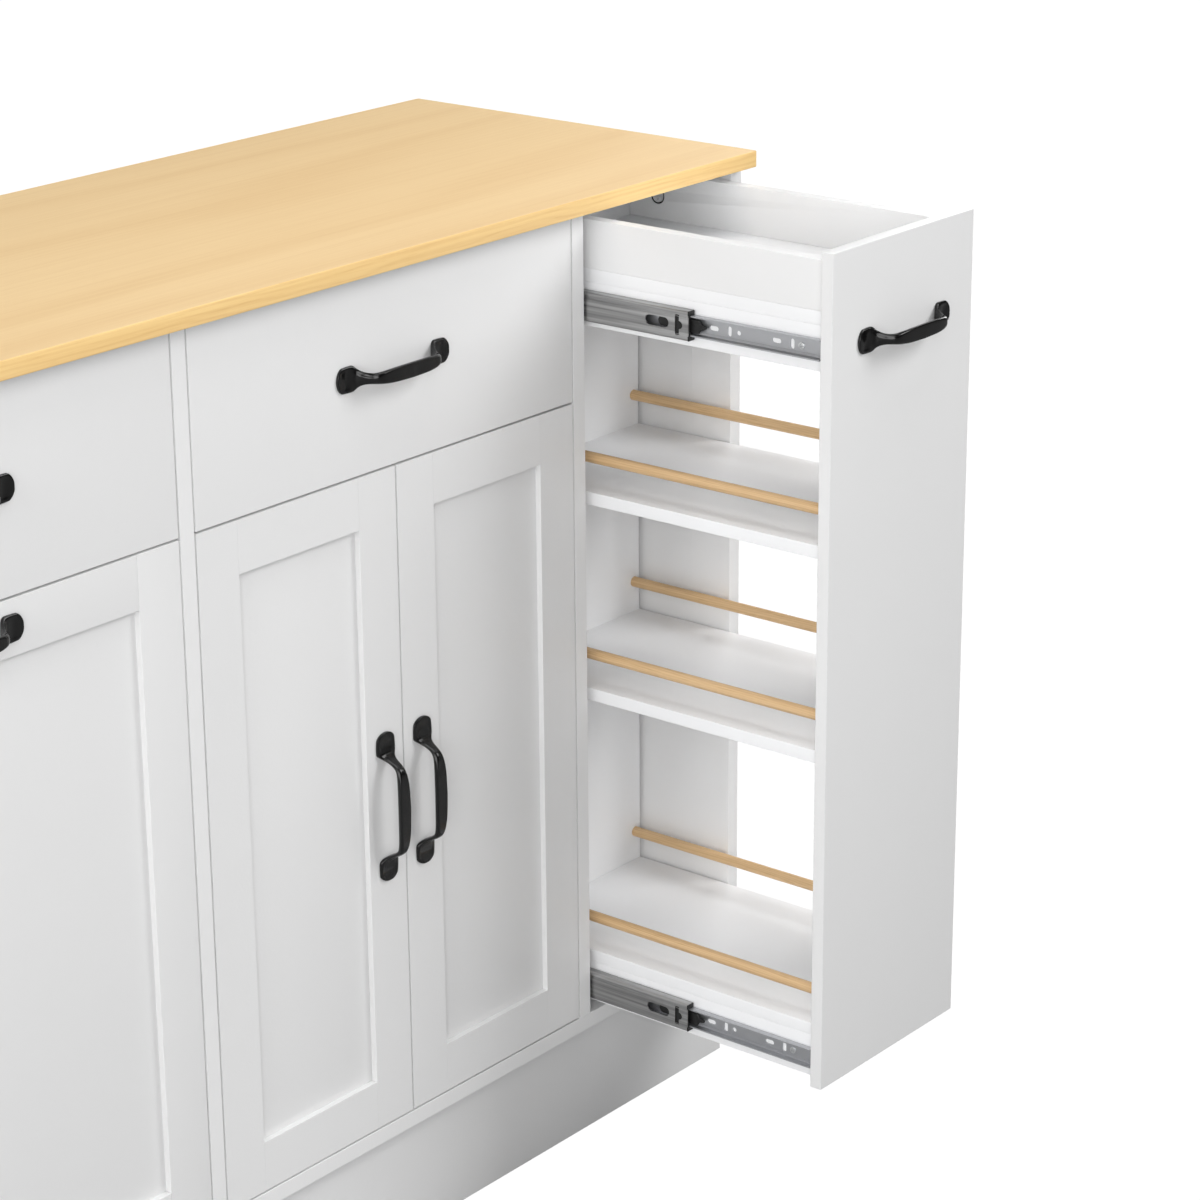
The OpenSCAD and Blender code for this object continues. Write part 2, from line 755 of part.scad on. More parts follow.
// Cam locks of the tray, the pull's screws, and the heads of the screws in the slides
module rack_fittings() {
    pull_z = (drawer_z0 + drawer_z1) / 2;
    head_t = 1.4;
    color("silver") {
        cam_lock(rack_x0 + rack_t, 1, rack_cam_y, rack_cam_z);
        cam_lock(rack_x1 - rack_t, -1, rack_cam_y, rack_cam_z);
        on_front((bay_c0 + bay_c1) / 2, rack_y0, pull_z) pull_screws(rack_t);
        for (z = rack_slide_zs, y = [hole_rows[0], slide_len - rear_hole])
            rod_x(rack_x0 - slide_wall - head_t, rack_x0 - slide_wall,
                  rack_y1 + slide_gap + y, z, screw_head_d / 2 - 1);
    }
}

module rack_slide_inners() {
    color("darkgray")
        for (z = rack_slide_zs)
            at_slide(bay_c0, 1, rack_y1 + slide_gap, z) slide_inner();
}

module rack_slide_mids() {
    color("lightslategray")
        for (z = rack_slide_zs)
            at_slide(bay_c0, 1, y_front + rack_t + slide_gap - mid_out, z) slide_mid();
}

module rack_slide_clips() {
    color("black")
        for (z = rack_slide_zs)
            at_slide(bay_c0, 1, y_front + rack_t + slide_gap - mid_out, z) slide_clip();
}

module rack_lever(z) {
    color("black") at_slide(bay_c0, 1, rack_y1 + slide_gap, z) slide_lever();
}

module rack_lever_upper() {
    rack_lever(rack_slide_zs[0]);
}

module rack_lever_lower() {
    rack_lever(rack_slide_zs[1]);
}

// ---------------------------------------------------------------- drawers

// The drawer bottom, grown by g where it cuts its own groove
module bottom_sheet(x0, g) {
    y0 = y_front + front_t;
    block([x0 + slide_t + box_t - groove_d - g, y0 - groove_d - g, box_z0 + box_groove_z - g],
          [x0 + bay_w - slide_t - box_t + groove_d + g, y0 + slide_len - box_t + groove_d + g,
           box_z0 + box_groove_z + drawer_bottom_t + g]);
}

module drawer_front(x0) {
    color("white") difference() {
        block([x0 + front_gap, y_front, drawer_z0], [x0 + bay_w - front_gap, y_front + front_t, drawer_z1]);
        on_front(x0 + bay_w / 2, y_front, (drawer_z0 + drawer_z1) / 2) pull_holes(front_t);
        bottom_sheet(x0, fit);
    }
}

module drawer_sides(x0) {
    y0 = y_front + front_t;
    color("whitesmoke")
        for (x = [x0 + slide_t, x0 + bay_w - slide_t - box_t])
            difference() {
                block([x, y0, box_z0], [x + box_t, y0 + slide_len, box_z0 + drawer_box_h]);
                bottom_sheet(x0, fit);
            }
}

module drawer_back(x0) {
    y1 = y_front + front_t + slide_len;
    color("gainsboro") difference() {
        block([x0 + slide_t + box_t, y1 - box_t, box_z0],
              [x0 + bay_w - slide_t - box_t, y1, box_z0 + drawer_box_h]);
        bottom_sheet(x0, fit);
    }
}

module drawer_bottom(x0) {
    color("linen") bottom_sheet(x0, 0);
}

module drawer_pull(x0) {
    pull_with_screws(x0 + bay_w / 2, y_front, (drawer_z0 + drawer_z1) / 2, front_t);
}

module slide_inners(x0, z) {
    color("darkgray") slide_pair(x0, x0 + bay_w, z) slide_inner();
}

module slide_mids(x0, z) {
    color("lightslategray") slide_pair(x0, x0 + bay_w, z) slide_mid();
}

// ---------------------------------------------------------------- framed doors

// The panel of a framed door w wide, grown by g where it cuts its own groove
module door_sheet(x0, w, g) {
    inset = stile_w - groove_d;
    y0 = y_front + panel_recess;
    block([x0 + inset - g, y0 - g, door_z0 + inset - g],
          [x0 + w - inset + g, y0 + panel_t + g, door_z1 - inset + g]);
}

// Stiles and rails of a framed door: the rails end against the stiles
module door_frame(x0, w) {
    y1 = y_front + front_t;
    difference() {
        for (x = [x0, x0 + w - stile_w])
            block([x, y_front, door_z0], [x + stile_w, y1, door_z1]);
        door_sheet(x0, w, fit);
        children();
    }
    difference() {
        for (z = [door_z0, door_z1 - stile_w])
            block([x0 + stile_w + seam, y_front, z], [x0 + w - stile_w - seam, y1, z + stile_w]);
        door_sheet(x0, w, fit);
        children();
    }
}

module caddy_door_frame() {
    x0 = bay_a0 + front_gap;
    color("white") door_frame(x0, front_w)
        on_front(x0 + front_w / 2, y_front, door_z1 - stile_w / 2) pull_holes(front_t);
}

module caddy_door_panel() {
    color("whitesmoke") door_sheet(bay_a0 + front_gap, front_w, 0);
}

module caddy_base() {
    y0 = y_front + front_t;
    color("whitesmoke")
        block([bay_a0 + slide_t + box_t, y0, caddy_z0],
              [bay_a1 - slide_t - box_t, y0 + slide_len - box_t, caddy_z0 + box_t]);
}

// Two side walls and a rear wall
module caddy_walls() {
    y0 = y_front + front_t;
    y1 = y0 + slide_len;
    color("whitesmoke") {
        for (x = [bay_a0 + slide_t, bay_a1 - slide_t - box_t])
            block([x, y0, caddy_z0], [x + box_t, y1, caddy_z0 + caddy_h]);
        block([bay_a0 + slide_t + box_t, y1 - box_t, caddy_z0],
              [bay_a1 - slide_t - box_t, y1, caddy_z0 + caddy_h]);
    }
}

module caddy_pull() {
    pull_with_screws((bay_a0 + bay_a1) / 2, y_front, door_z1 - stile_w / 2, front_t);
}

// Hinge side is -1 for a door hung on its left edge, 1 for one hung on its right
module hung_door_frame(x0, hinge_side) {
    edge = hinge_side < 0 ? x0 : x0 + door_w;
    color("white") door_frame(x0, door_w) {
        on_front(pull_x(x0, hinge_side), y_front, (door_z0 + door_z1) / 2, true) pull_holes(front_t);
        for (z = hinge_zs)
            rod_y(edge - hinge_side * cup_x, y_front + front_t - cup_depth,
                  y_front + front_t + eps, z, cup_d / 2);
    }
}

// The pull stands in the middle of the stile that is away from the hinges
function pull_x(x0, hinge_side) = hinge_side < 0 ? x0 + door_w - stile_w / 2 : x0 + stile_w / 2;

module hung_door_pull(x0, hinge_side) {
    pull_with_screws(pull_x(x0, hinge_side), y_front, (door_z0 + door_z1) / 2, front_t, true);
}

module hung_door_cups(x0, hinge_side) {
    edge = hinge_side < 0 ? x0 : x0 + door_w;
    color("silver")
        for (z = hinge_zs)
            translate([edge - hinge_side * cup_x, y_front, z])
                mirror([hinge_side < 0 ? 0 : 1, 0, 0]) hinge_cup();
}

// ---------------------------------------------------------------- nodes

worktop();
side_panel_left();
side_panel_right();
divider_left();
divider_right();
bottom_board();
plinth_front();
plinth_back();
plinth_braces();
back_panels();
carcass_rails();
shelf();
carcass_fittings();
slide_cabinet_members();
hinge_arms();

rack_front();
rack_back();
rack_tray_walls();
rack_tray_board();
rack_rails();
rack_shelf_upper();
rack_shelf_middle();
rack_shelf_bottom();
rack_rods();
rack_pull();
rack_fittings();
rack_slide_inners();
rack_slide_mids();
rack_slide_clips();
rack_lever_upper();
rack_lever_lower();

drawer_front(bay_a0);  // drawer_left_front
drawer_sides(bay_a0);  // drawer_left_sides
drawer_back(bay_a0);  // drawer_left_back
drawer_bottom(bay_a0);  // drawer_left_bottom
drawer_pull(bay_a0);  // drawer_left_pull
slide_inners(bay_a0, box_slide_z);  // drawer_left_slide_inners
slide_mids(bay_a0, box_slide_z);  // drawer_left_slide_mids

drawer_front(bay_b0);  // drawer_right_front
drawer_sides(bay_b0);  // drawer_right_sides
drawer_back(bay_b0);  // drawer_right_back
drawer_bottom(bay_b0);  // drawer_right_bottom
drawer_pull(bay_b0);  // drawer_right_pull
slide_inners(bay_b0, box_slide_z);  // drawer_right_slide_inners
slide_mids(bay_b0, box_slide_z);  // drawer_right_slide_mids

caddy_door_frame();
caddy_door_panel();
caddy_base();
caddy_walls();
caddy_pull();
slide_inners(bay_a0, caddy_slide_z);  // caddy_slide_inners
slide_mids(bay_a0, caddy_slide_z);  // caddy_slide_mids

hung_door_frame(door_a, -1);  // door_left_frame
color("whitesmoke") door_sheet(door_a, door_w, 0);  // door_left_panel
hung_door_pull(door_a, -1);  // door_left_pull
hung_door_cups(door_a, -1);  // door_left_hinge_cups
hung_door_frame(door_b, 1);  // door_right_frame
color("whitesmoke") door_sheet(door_b, door_w, 0);  // door_right_panel
hung_door_pull(door_b, 1);  // door_right_pull
hung_door_cups(door_b, 1);  // door_right_hinge_cups
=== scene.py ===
"""Looks of a kitchen island with drawers, a pull-out caddy, framed doors and a pull-out rack.

Metres, +Z up; the fronts face -Y and the rack stands part of the way out. Plain boards are
rounded boxes, boards with pockets are merged copies of their solids, and the pulls, slides,
rods and fittings are surfaces worked out from their sizes. Everything rides on the body of
the solid that it stands for.
"""

from __future__ import annotations

import json
import logging
import math
from dataclasses import dataclass, field
from enum import Enum
from typing import Iterable, Sequence

import bmesh
import bpy
import numpy as np
from mathutils import Matrix, Vector
from numpy.typing import NDArray

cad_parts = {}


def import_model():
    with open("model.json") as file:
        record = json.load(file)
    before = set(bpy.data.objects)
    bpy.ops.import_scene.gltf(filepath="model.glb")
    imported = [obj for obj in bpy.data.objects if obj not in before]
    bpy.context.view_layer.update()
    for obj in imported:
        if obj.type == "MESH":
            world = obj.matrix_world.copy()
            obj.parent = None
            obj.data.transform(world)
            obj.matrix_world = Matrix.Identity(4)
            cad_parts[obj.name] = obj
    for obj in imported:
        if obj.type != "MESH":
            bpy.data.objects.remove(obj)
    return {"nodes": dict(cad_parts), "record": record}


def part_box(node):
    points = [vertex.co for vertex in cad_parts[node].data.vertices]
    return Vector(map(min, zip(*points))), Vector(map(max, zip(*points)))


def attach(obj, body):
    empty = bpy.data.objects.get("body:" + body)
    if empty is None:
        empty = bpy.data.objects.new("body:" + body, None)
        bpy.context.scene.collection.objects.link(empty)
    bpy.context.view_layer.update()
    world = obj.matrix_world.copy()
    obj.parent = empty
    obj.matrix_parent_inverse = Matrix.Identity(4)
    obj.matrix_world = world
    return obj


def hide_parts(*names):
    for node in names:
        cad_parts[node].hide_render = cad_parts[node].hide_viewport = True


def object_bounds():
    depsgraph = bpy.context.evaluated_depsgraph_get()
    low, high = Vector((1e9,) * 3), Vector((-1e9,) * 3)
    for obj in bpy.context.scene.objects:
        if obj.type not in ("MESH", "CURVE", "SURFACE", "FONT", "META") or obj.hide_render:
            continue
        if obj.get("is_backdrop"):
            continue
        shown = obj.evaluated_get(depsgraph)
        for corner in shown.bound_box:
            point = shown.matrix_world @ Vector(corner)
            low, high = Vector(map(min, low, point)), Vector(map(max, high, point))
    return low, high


Floats = NDArray[np.float64]
Ints = NDArray[np.int64]
Colour = tuple[float, float, float]
Point = tuple[float, float, float]

MM = 0.001
WELD = 0.01 * MM
FRONT_EDGE = 0.35 * MM
RACK_FRONT_EDGE = 0.8 * MM
POCKETED_EDGE = 0.5 * MM
THIN_EDGE = 0.3 * MM
SCREW_R = 2.0 * MM
SCREW_HEAD_R = 4 * MM
SCREW_HEAD_H = 2.2 * MM
SCREW_CROSS = 1.4 * MM
TINY = 1e-9
LOG = logging.getLogger("kitchen_island")


class Axis(Enum):
    """The direction that a bar, a screw or a grain runs in."""

    X = 0
    Y = 1
    Z = 2


class PullPose(Enum):
    """How a pull lies on its front."""

    LEVEL = "level"
    UPRIGHT = "upright"


class Cut(Enum):
    """How a board is made: as a plain rounded box, or as a copy of a solid with pockets."""

    PLAIN = "plain"
    POCKETED = "pocketed"


class Member(Enum):
    """The members of a telescopic slide, from the carcass to the moving unit."""

    CABINET = "cabinet"
    MIDDLE = "middle"
    INNER = "inner"


# ---------- shells and meshes


@dataclass
class Shell:
    """A closed surface: its points, its faces, and how much each point lies on an edge.

    Args:
        points: one row of x, y, z for each point.
        faces: arrays of faces, each array with one number of corners.
        edge: 1 for a point on a rounded edge, 0 for a point on a flat face.
    """

    points: Floats
    faces: list[Ints]
    edge: Floats | None = None

    def edges(self) -> Floats:
        """The edge values, all 0 where none were given."""
        return np.zeros(len(self.points)) if self.edge is None else self.edge

    def flipped(self) -> "Shell":
        """The same surface with its faces turned round."""
        return Shell(self.points, [faces[:, ::-1] for faces in self.faces], self.edge)

    def placed(self, axes: Floats, origin: Sequence[float]) -> "Shell":
        """The surface carried to axes given as three rows, with its origin at a point.

        Args:
            axes: rows that say where the local x, y and z axes point.
            origin: where the local origin goes.
        Returns:
            The placed surface, facing outwards whatever the handedness of the axes.
        """
        moved = Shell(self.points @ axes + np.asarray(origin), self.faces, self.edge)
        return moved if np.linalg.det(axes) > 0 else moved.flipped()


def joined(shells: Iterable[Shell]) -> Shell:
    """All the surfaces as one, each still closed by itself.

    Args:
        shells: the surfaces.
    Returns:
        One surface of many shells.
    """
    points, faces, edge, start = [], [], [], 0
    for shell in shells:
        points.append(shell.points)
        edge.append(shell.edges())
        faces.extend(group + start for group in shell.faces)
        start += len(shell.points)
    return Shell(np.concatenate(points), faces, np.concatenate(edge))


def grid_faces(rows: int, columns: int, wrap: bool) -> Ints:
    """Four-cornered faces of a grid of points.

    Args:
        rows: how many rings or rows the grid has.
        columns: how many points each row has.
        wrap: whether the last column joins the first.
    Returns:
        One row of four point numbers for each face.
    """
    across = columns if wrap else columns - 1
    row = np.arange(rows - 1)[:, None]
    column = np.arange(across)[None, :]
    after = (column + 1) % columns
    corners = [row * columns + column, row * columns + after, (row + 1) * columns + after,
               (row + 1) * columns + column]
    return np.stack([corner.ravel() for corner in corners], axis=1)


def rings_to_shell(rings: Floats) -> Shell:
    """A tube through a stack of closed rings, with a pole in the middle of each end.

    Args:
        rings: rings x points x 3, running anticlockwise as seen from beyond the last ring.
    Returns:
        The closed surface.
    """
    count, around, _ = rings.shape
    points = np.concatenate([rings.reshape(-1, 3), rings[:1].mean(axis=1), rings[-1:].mean(axis=1)])
    here = np.arange(around)
    after = (here + 1) % around
    first, last = count * around, count * around + 1
    base = (count - 1) * around
    caps = np.concatenate([np.stack([after, here, np.full(around, first)], axis=1),
                           np.stack([base + here, base + after, np.full(around, last)], axis=1)])
    return Shell(points, [grid_faces(count, around, True), caps])


def rounded_box(low: Sequence[float], high: Sequence[float], radius: float, steps: int = 3) -> Shell:
    """A box with rounded edges and corners.

    Each point of a cube's surface grid is split into the nearest point of a core box, which
    is smaller by the radius all round, and the rest; the rest is made one radius long. The
    grid lines near the edges stand at the tangents of equal angles, so that the rounding
    has equal steps.

    Args:
        low: lowest corner.
        high: highest corner.
        radius: radius of the edges.
        steps: faces in each half of a rounded edge.
    Returns:
        The closed surface.
    """
    low, high = np.asarray(low, float), np.asarray(high, float)
    half = (high - low) / 2
    radius = min(radius, float(half.min()) * 0.9)
    rise = np.tan(np.linspace(0.0, math.pi / 4, steps + 1)) * radius
    points, faces, start = [], [], 0
    for axis in range(3):
        u_axis, v_axis = (axis + 1) % 3, (axis + 2) % 3
        lines = [np.concatenate([-(half[a] - radius + rise)[::-1], half[a] - radius + rise])
                 for a in (u_axis, v_axis)]
        u, v = np.meshgrid(lines[0], lines[1], indexing="ij")
        for sign in (-1.0, 1.0):
            side = np.zeros(u.shape + (3,))
            side[..., u_axis], side[..., v_axis], side[..., axis] = u, v, sign * half[axis]
            group = grid_faces(u.shape[0], u.shape[1], False) + start
            faces.append(group if sign > 0 else group[:, ::-1])
            points.append(side.reshape(-1, 3))
            start += u.size
    cube = np.concatenate(points)
    core = np.clip(cube, -(half - radius), half - radius)
    rest = cube - core
    length = np.linalg.norm(rest, axis=1, keepdims=True)
    surface = core + rest * (radius / np.maximum(length, 1e-12)) + (low + high) / 2
    edge = (np.count_nonzero(np.abs(rest) > radius * 1e-6, axis=1) > 1).astype(float)
    keys, first, inverse = np.unique(np.round(surface * 1e7).astype(np.int64), axis=0,
                                     return_index=True, return_inverse=True)
    return Shell(surface[first], [inverse.reshape(-1)[np.concatenate(faces)]], edge[first])


def curve_through(knots: Floats, samples: int) -> Floats:
    """A smooth curve through knots.

    Between two knots each value is a cubic that leaves a knot with half the difference of
    its two neighbours, and the ends are their own neighbours.

    Args:
        knots: one row for each knot, with any number of values.
        samples: rows in the result.
    Returns:
        Rows of values, from the first knot to the last.
    """
    padded = np.concatenate([knots[:1], knots, knots[-1:]])
    place = np.linspace(0.0, len(knots) - 1.0, samples)
    index = np.minimum(place.astype(int), len(knots) - 2)
    t = (place - index)[:, None]
    before, here, after, beyond = (padded[index + i] for i in range(4))
    out, into = (after - before) / 2, (beyond - here) / 2
    return (here * (2 * t**3 - 3 * t**2 + 1) + out * (t**3 - 2 * t**2 + t)
            + after * (3 * t**2 - 2 * t**3) + into * (t**3 - t**2))


def power(values: Floats, exponent: Floats | float) -> Floats:
    """Each value's size raised to an exponent, with the value's own sign."""
    return np.sign(values) * np.abs(values) ** exponent


def turned(profile: Floats, around: int = 32) -> Shell:
    """A shape turned about the local z axis.

    Args:
        profile: rows of radius and height, from the lower end to the upper one.
        around: points in each ring.
    Returns:
        The closed surface.
    """
    angle = np.arange(around) * (2 * math.pi / around)
    radius, height = profile[:, :1], profile[:, 1:2]
    rings = np.stack([radius * np.cos(angle), radius * np.sin(angle),
                      np.broadcast_to(height, (len(profile), around))], axis=2)
    return rings_to_shell(rings)


def prism(outline: Floats, start: float, stop: float) -> Shell:
    """A closed outline in the local xy plane carried along z, facing outwards.

    Args:
        outline: rows of x and y, anticlockwise.
        start: lower end.
        stop: upper end.
    Returns:
        The closed surface.
    """
    rings = np.stack([np.column_stack([outline, np.full(len(outline), z)]) for z in (start, stop)])
    return rings_to_shell(rings)


def eased_prism(outline: Floats, start: float, stop: float, ease: float) -> Shell:
    """A closed outline carried along z, with its two faces drawn in along a small chamfer.

    A point of the outline moves inwards along the mean of its two sides' normals.

    Args:
        outline: rows of x and y, anticlockwise.
        start: lower end.
        stop: upper end.
        ease: width and height of the chamfer.
    Returns:
        The closed surface.
    """
    ahead = np.roll(outline, -1, axis=0) - outline
    ahead /= np.linalg.norm(ahead, axis=1, keepdims=True)
    mean = ahead + np.roll(ahead, 1, axis=0)
    mean /= np.linalg.norm(mean, axis=1, keepdims=True)
    drawn_in = outline + np.column_stack([-mean[:, 1], mean[:, 0]]) * ease
    levels = ((drawn_in, start), (outline, start + ease), (outline, stop - ease), (drawn_in, stop))
    rings = np.stack([np.column_stack([ring, np.full(len(ring), z)]) for ring, z in levels])
    return rings_to_shell(rings)


def crossed_head(radius: float, height: float, recess: float, dome: float = 0.25,
                 rings: int = 18, around: int = 64) -> Shell:
    """A round head with a cross recess, standing on z = 0.

    The face is a polar grid: its height falls from the middle to the rim as the square of
    the radius, and drops by the recess where a point is within the width of one of two
    crossed bars, with soft edges.

    Args:
        radius: radius of the head.
        height: height of its middle.
        recess: depth of the cross.
        dome: share of the height that the rim loses.
        rings: rings of the face.
        around: points in each ring.
    Returns:
        The closed surface.
    """
    share = np.linspace(0.02, 1.0, rings)[::-1]
    angle = np.arange(around) * (2 * math.pi / around)
    x = share[:, None] * np.cos(angle) * radius
    y = share[:, None] * np.sin(angle) * radius
    bar, arm = radius * 0.13, radius * 0.62
    soft = radius * 0.07

    def inside(a: Floats, b: Floats) -> Floats:
        """How deep inside one bar a point is, from 0 to 1."""
        return (np.clip((bar - np.abs(a)) / soft + 0.5, 0, 1)
                * np.clip((arm - np.abs(b)) / soft + 0.5, 0, 1))

    cross = np.maximum(inside(x, y), inside(y, x))
    z = height * (1 - dome * share[:, None] ** 2) - recess * cross
    face = np.stack([x, y, z], axis=2)
    shoulder = height * (1 - dome) * 0.6
    rim = np.stack([np.column_stack([np.cos(angle) * radius, np.sin(angle) * radius,
                                     np.full(around, level)]) for level in (0.0, shoulder)])
    return rings_to_shell(np.concatenate([rim, face]))


def along(axis: Axis, sign: float = 1.0) -> Floats:
    """Axes that carry the local z axis to a world axis.

    Args:
        axis: the world axis.
        sign: 1 along the axis, -1 against it.
    Returns:
        Rows that say where the local x, y and z axes point.
    """
    rows = {Axis.X: [[0, 0, 1], [0, -1, 0], [1, 0, 0]],
            Axis.Y: [[0, 0, 1], [1, 0, 0], [0, 1, 0]],
            Axis.Z: [[1, 0, 0], [0, 1, 0], [0, 0, 1]]}[axis]
    axes = np.array(rows, float)
    axes[2] *= sign
    return axes


def write_mesh(name: str, shell: Shell, smooth_angle: float = 40.0) -> bpy.types.Object:
    """A mesh object at the origin made from a shell.

    Args:
        name: name of the object.
        shell: the surface.
        smooth_angle: angle in degrees past which an edge stays sharp.
    Returns:
        The object.
    """
    mesh = bpy.data.meshes.new(name)
    faces = [row for group in shell.faces for row in group.tolist()]
    mesh.from_pydata(shell.points.tolist(), [], faces)
    mesh.validate()
    edge = mesh.attributes.new("edge", "FLOAT", "POINT")
    edge.data.foreach_set("value", shell.edges().astype(np.float32))
    return finished(name, mesh, smooth_angle)


def finished(name: str, mesh: bpy.types.Mesh, smooth_angle: float) -> bpy.types.Object:
    """An object for a mesh, smooth but for edges past an angle in degrees.

    Args:
        name: name of the object.
        mesh: its mesh.
        smooth_angle: that angle.
    Returns:
        The object, linked to the scene.
    """
    mesh.shade_smooth()
    mesh.set_sharp_from_angle(angle=math.radians(smooth_angle))
    mesh.update()
    piece = bpy.data.objects.new(name, mesh)
    bpy.context.scene.collection.objects.link(piece)
    return piece


# ---------- what the frame holds


class Frame:
    """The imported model: its nodes, the bodies that they ride on, and their solids."""

    def __init__(self) -> None:
        """Loads the model and keeps its box."""
        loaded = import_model()
        self.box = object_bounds()
        self.nodes: dict[str, bpy.types.Object] = loaded["nodes"]
        self.body_of: dict[str, str] = {}
        for body, members in loaded["record"]["behaviour"]["bodies"].items():
            self.body_of.update(dict.fromkeys(members, body))
        self.slot_of: dict[str, str] = {row["node"]: row["material_slot"]
                                        for row in loaded["record"]["subparts"]}

    def solids(self, node: str) -> list[tuple[Floats, Floats]]:
        """The lowest and highest corner of each separate solid of a node.

        Points at one place get one number; each face then spreads the lowest number of its
        corners until nothing changes, and what shares a number is one solid.

        Args:
            node: name of the node.
        Returns:
            One pair of corners for each solid.
        """
        mesh = self.nodes[node].data
        points = np.zeros(len(mesh.vertices) * 3, np.float32)
        mesh.vertices.foreach_get("co", points)
        points = points.reshape(-1, 3).astype(float)
        mesh.calc_loop_triangles()
        corners = np.zeros(len(mesh.loop_triangles) * 3, np.int32)
        mesh.loop_triangles.foreach_get("vertices", corners)
        _, same = np.unique(np.round(points / WELD).astype(np.int64), axis=0,
                            return_inverse=True)
        faces = same.reshape(-1)[corners.reshape(-1, 3)]
        label = np.arange(faces.max() + 1)
        while True:
            lowest = label[faces].min(axis=1)
            spread = label.copy()
            for corner in range(3):
                np.minimum.at(spread, faces[:, corner], lowest)
            if np.array_equal(spread, label):
                break
            label = spread
        owner = label[same.reshape(-1)]
        return [(points[owner == which].min(axis=0), points[owner == which].max(axis=0))
                for which in np.unique(owner)]

    def adopt(self, piece: bpy.types.Object, node: str, material: bpy.types.Material,
              stands_for: bool = True) -> bpy.types.Object:
        """Gives a piece its material, its body and the node that it stands for.

        Args:
            piece: the piece.
            node: the node.
            material: the piece's material.
            stands_for: whether the piece takes the place of the node in the render.
        Returns:
            The piece.
        """
        piece.data.materials.clear()
        piece.data.materials.append(material)
        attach(piece, self.body_of[node])
        if stands_for:
            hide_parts(node)
        LOG.info("%s rides on %s", piece.name, self.body_of[node])
        return piece


# ---------- node trees


class Tree:
    """A node tree with short ways to add nodes and join sockets."""

    def __init__(self, tree: bpy.types.NodeTree) -> None:
        """Works on an empty tree."""
        self.tree = tree

    def node(self, kind: str, inputs: dict | None = None, **settings: object) -> bpy.types.Node:
        """A new node with settings, and inputs given as values or as sockets to join.

        Args:
            kind: the node's type.
            inputs: values or sockets, by name or place.
            settings: the node's own properties.
        Returns:
            The node.
        """
        made = self.tree.nodes.new(kind)
        for name, value in settings.items():
            setattr(made, name, value)
        for name, value in (inputs or {}).items():
            self.feed(made.inputs[name], value)
        return made

    def feed(self, socket: bpy.types.NodeSocket, value: object) -> None:
        """Joins a socket to another one, or sets it to a value."""
        if isinstance(value, bpy.types.NodeSocket):
            self.tree.links.new(value, socket)
        else:
            socket.default_value = value

    def math(self, operation: str, first: object, second: object = 0.0, third: object = 0.5,
             clamp: bool = False) -> bpy.types.NodeSocket:
        """The result of a Math node.

        Args:
            operation: the node's operation.
            first: its first value or socket.
            second: its second one.
            third: its third one, which only MULTIPLY_ADD uses.
            clamp: whether the result is kept between 0 and 1.
        Returns:
            The node's output.
        """
        made = self.node("ShaderNodeMath", {0: first, 1: second, 2: third}, operation=operation)
        made.use_clamp = clamp
        return made.outputs[0]

    def plus(self, base: object, value: object, share: object) -> bpy.types.NodeSocket:
        """A base with a share of a value added to it."""
        return self.math("ADD", base, self.math("MULTIPLY", value, share))

    def remap(self, value: object, low: float, high: float, to_low: float,
              to_high: float) -> bpy.types.NodeSocket:
        """A value carried smoothly from one range to another."""
        made = self.node("ShaderNodeMapRange",
                         {"Value": value, "From Min": low, "From Max": high,
                          "To Min": to_low, "To Max": to_high}, interpolation_type="SMOOTHSTEP")
        return made.outputs["Result"]

    def blend(self, factor: object, first: object, second: object) -> bpy.types.NodeSocket:
        """Two colours mixed."""
        made = self.node("ShaderNodeMix", data_type="RGBA")
        for index, value in ((0, factor), (6, first), (7, second)):
            self.feed(made.inputs[index], value)
        return made.outputs[2]

    def noise(self, vector: object, scale: object, detail: float = 3.0, rough: float = 0.5,
              distortion: float = 0.0) -> bpy.types.NodeSocket:
        """The value of a Noise node."""
        made = self.node("ShaderNodeTexNoise", {"Vector": vector, "Scale": scale, "Detail": detail,
                                                "Roughness": rough, "Distortion": distortion})
        return made.outputs["Fac"]

    def stretched(self, vector: object, scale: Point,
                  turn: Point = (0, 0, 0)) -> bpy.types.NodeSocket:
        """Coordinates scaled by axis and turned."""
        made = self.node("ShaderNodeMapping", {"Vector": vector, "Scale": scale, "Rotation": turn})
        return made.outputs["Vector"]


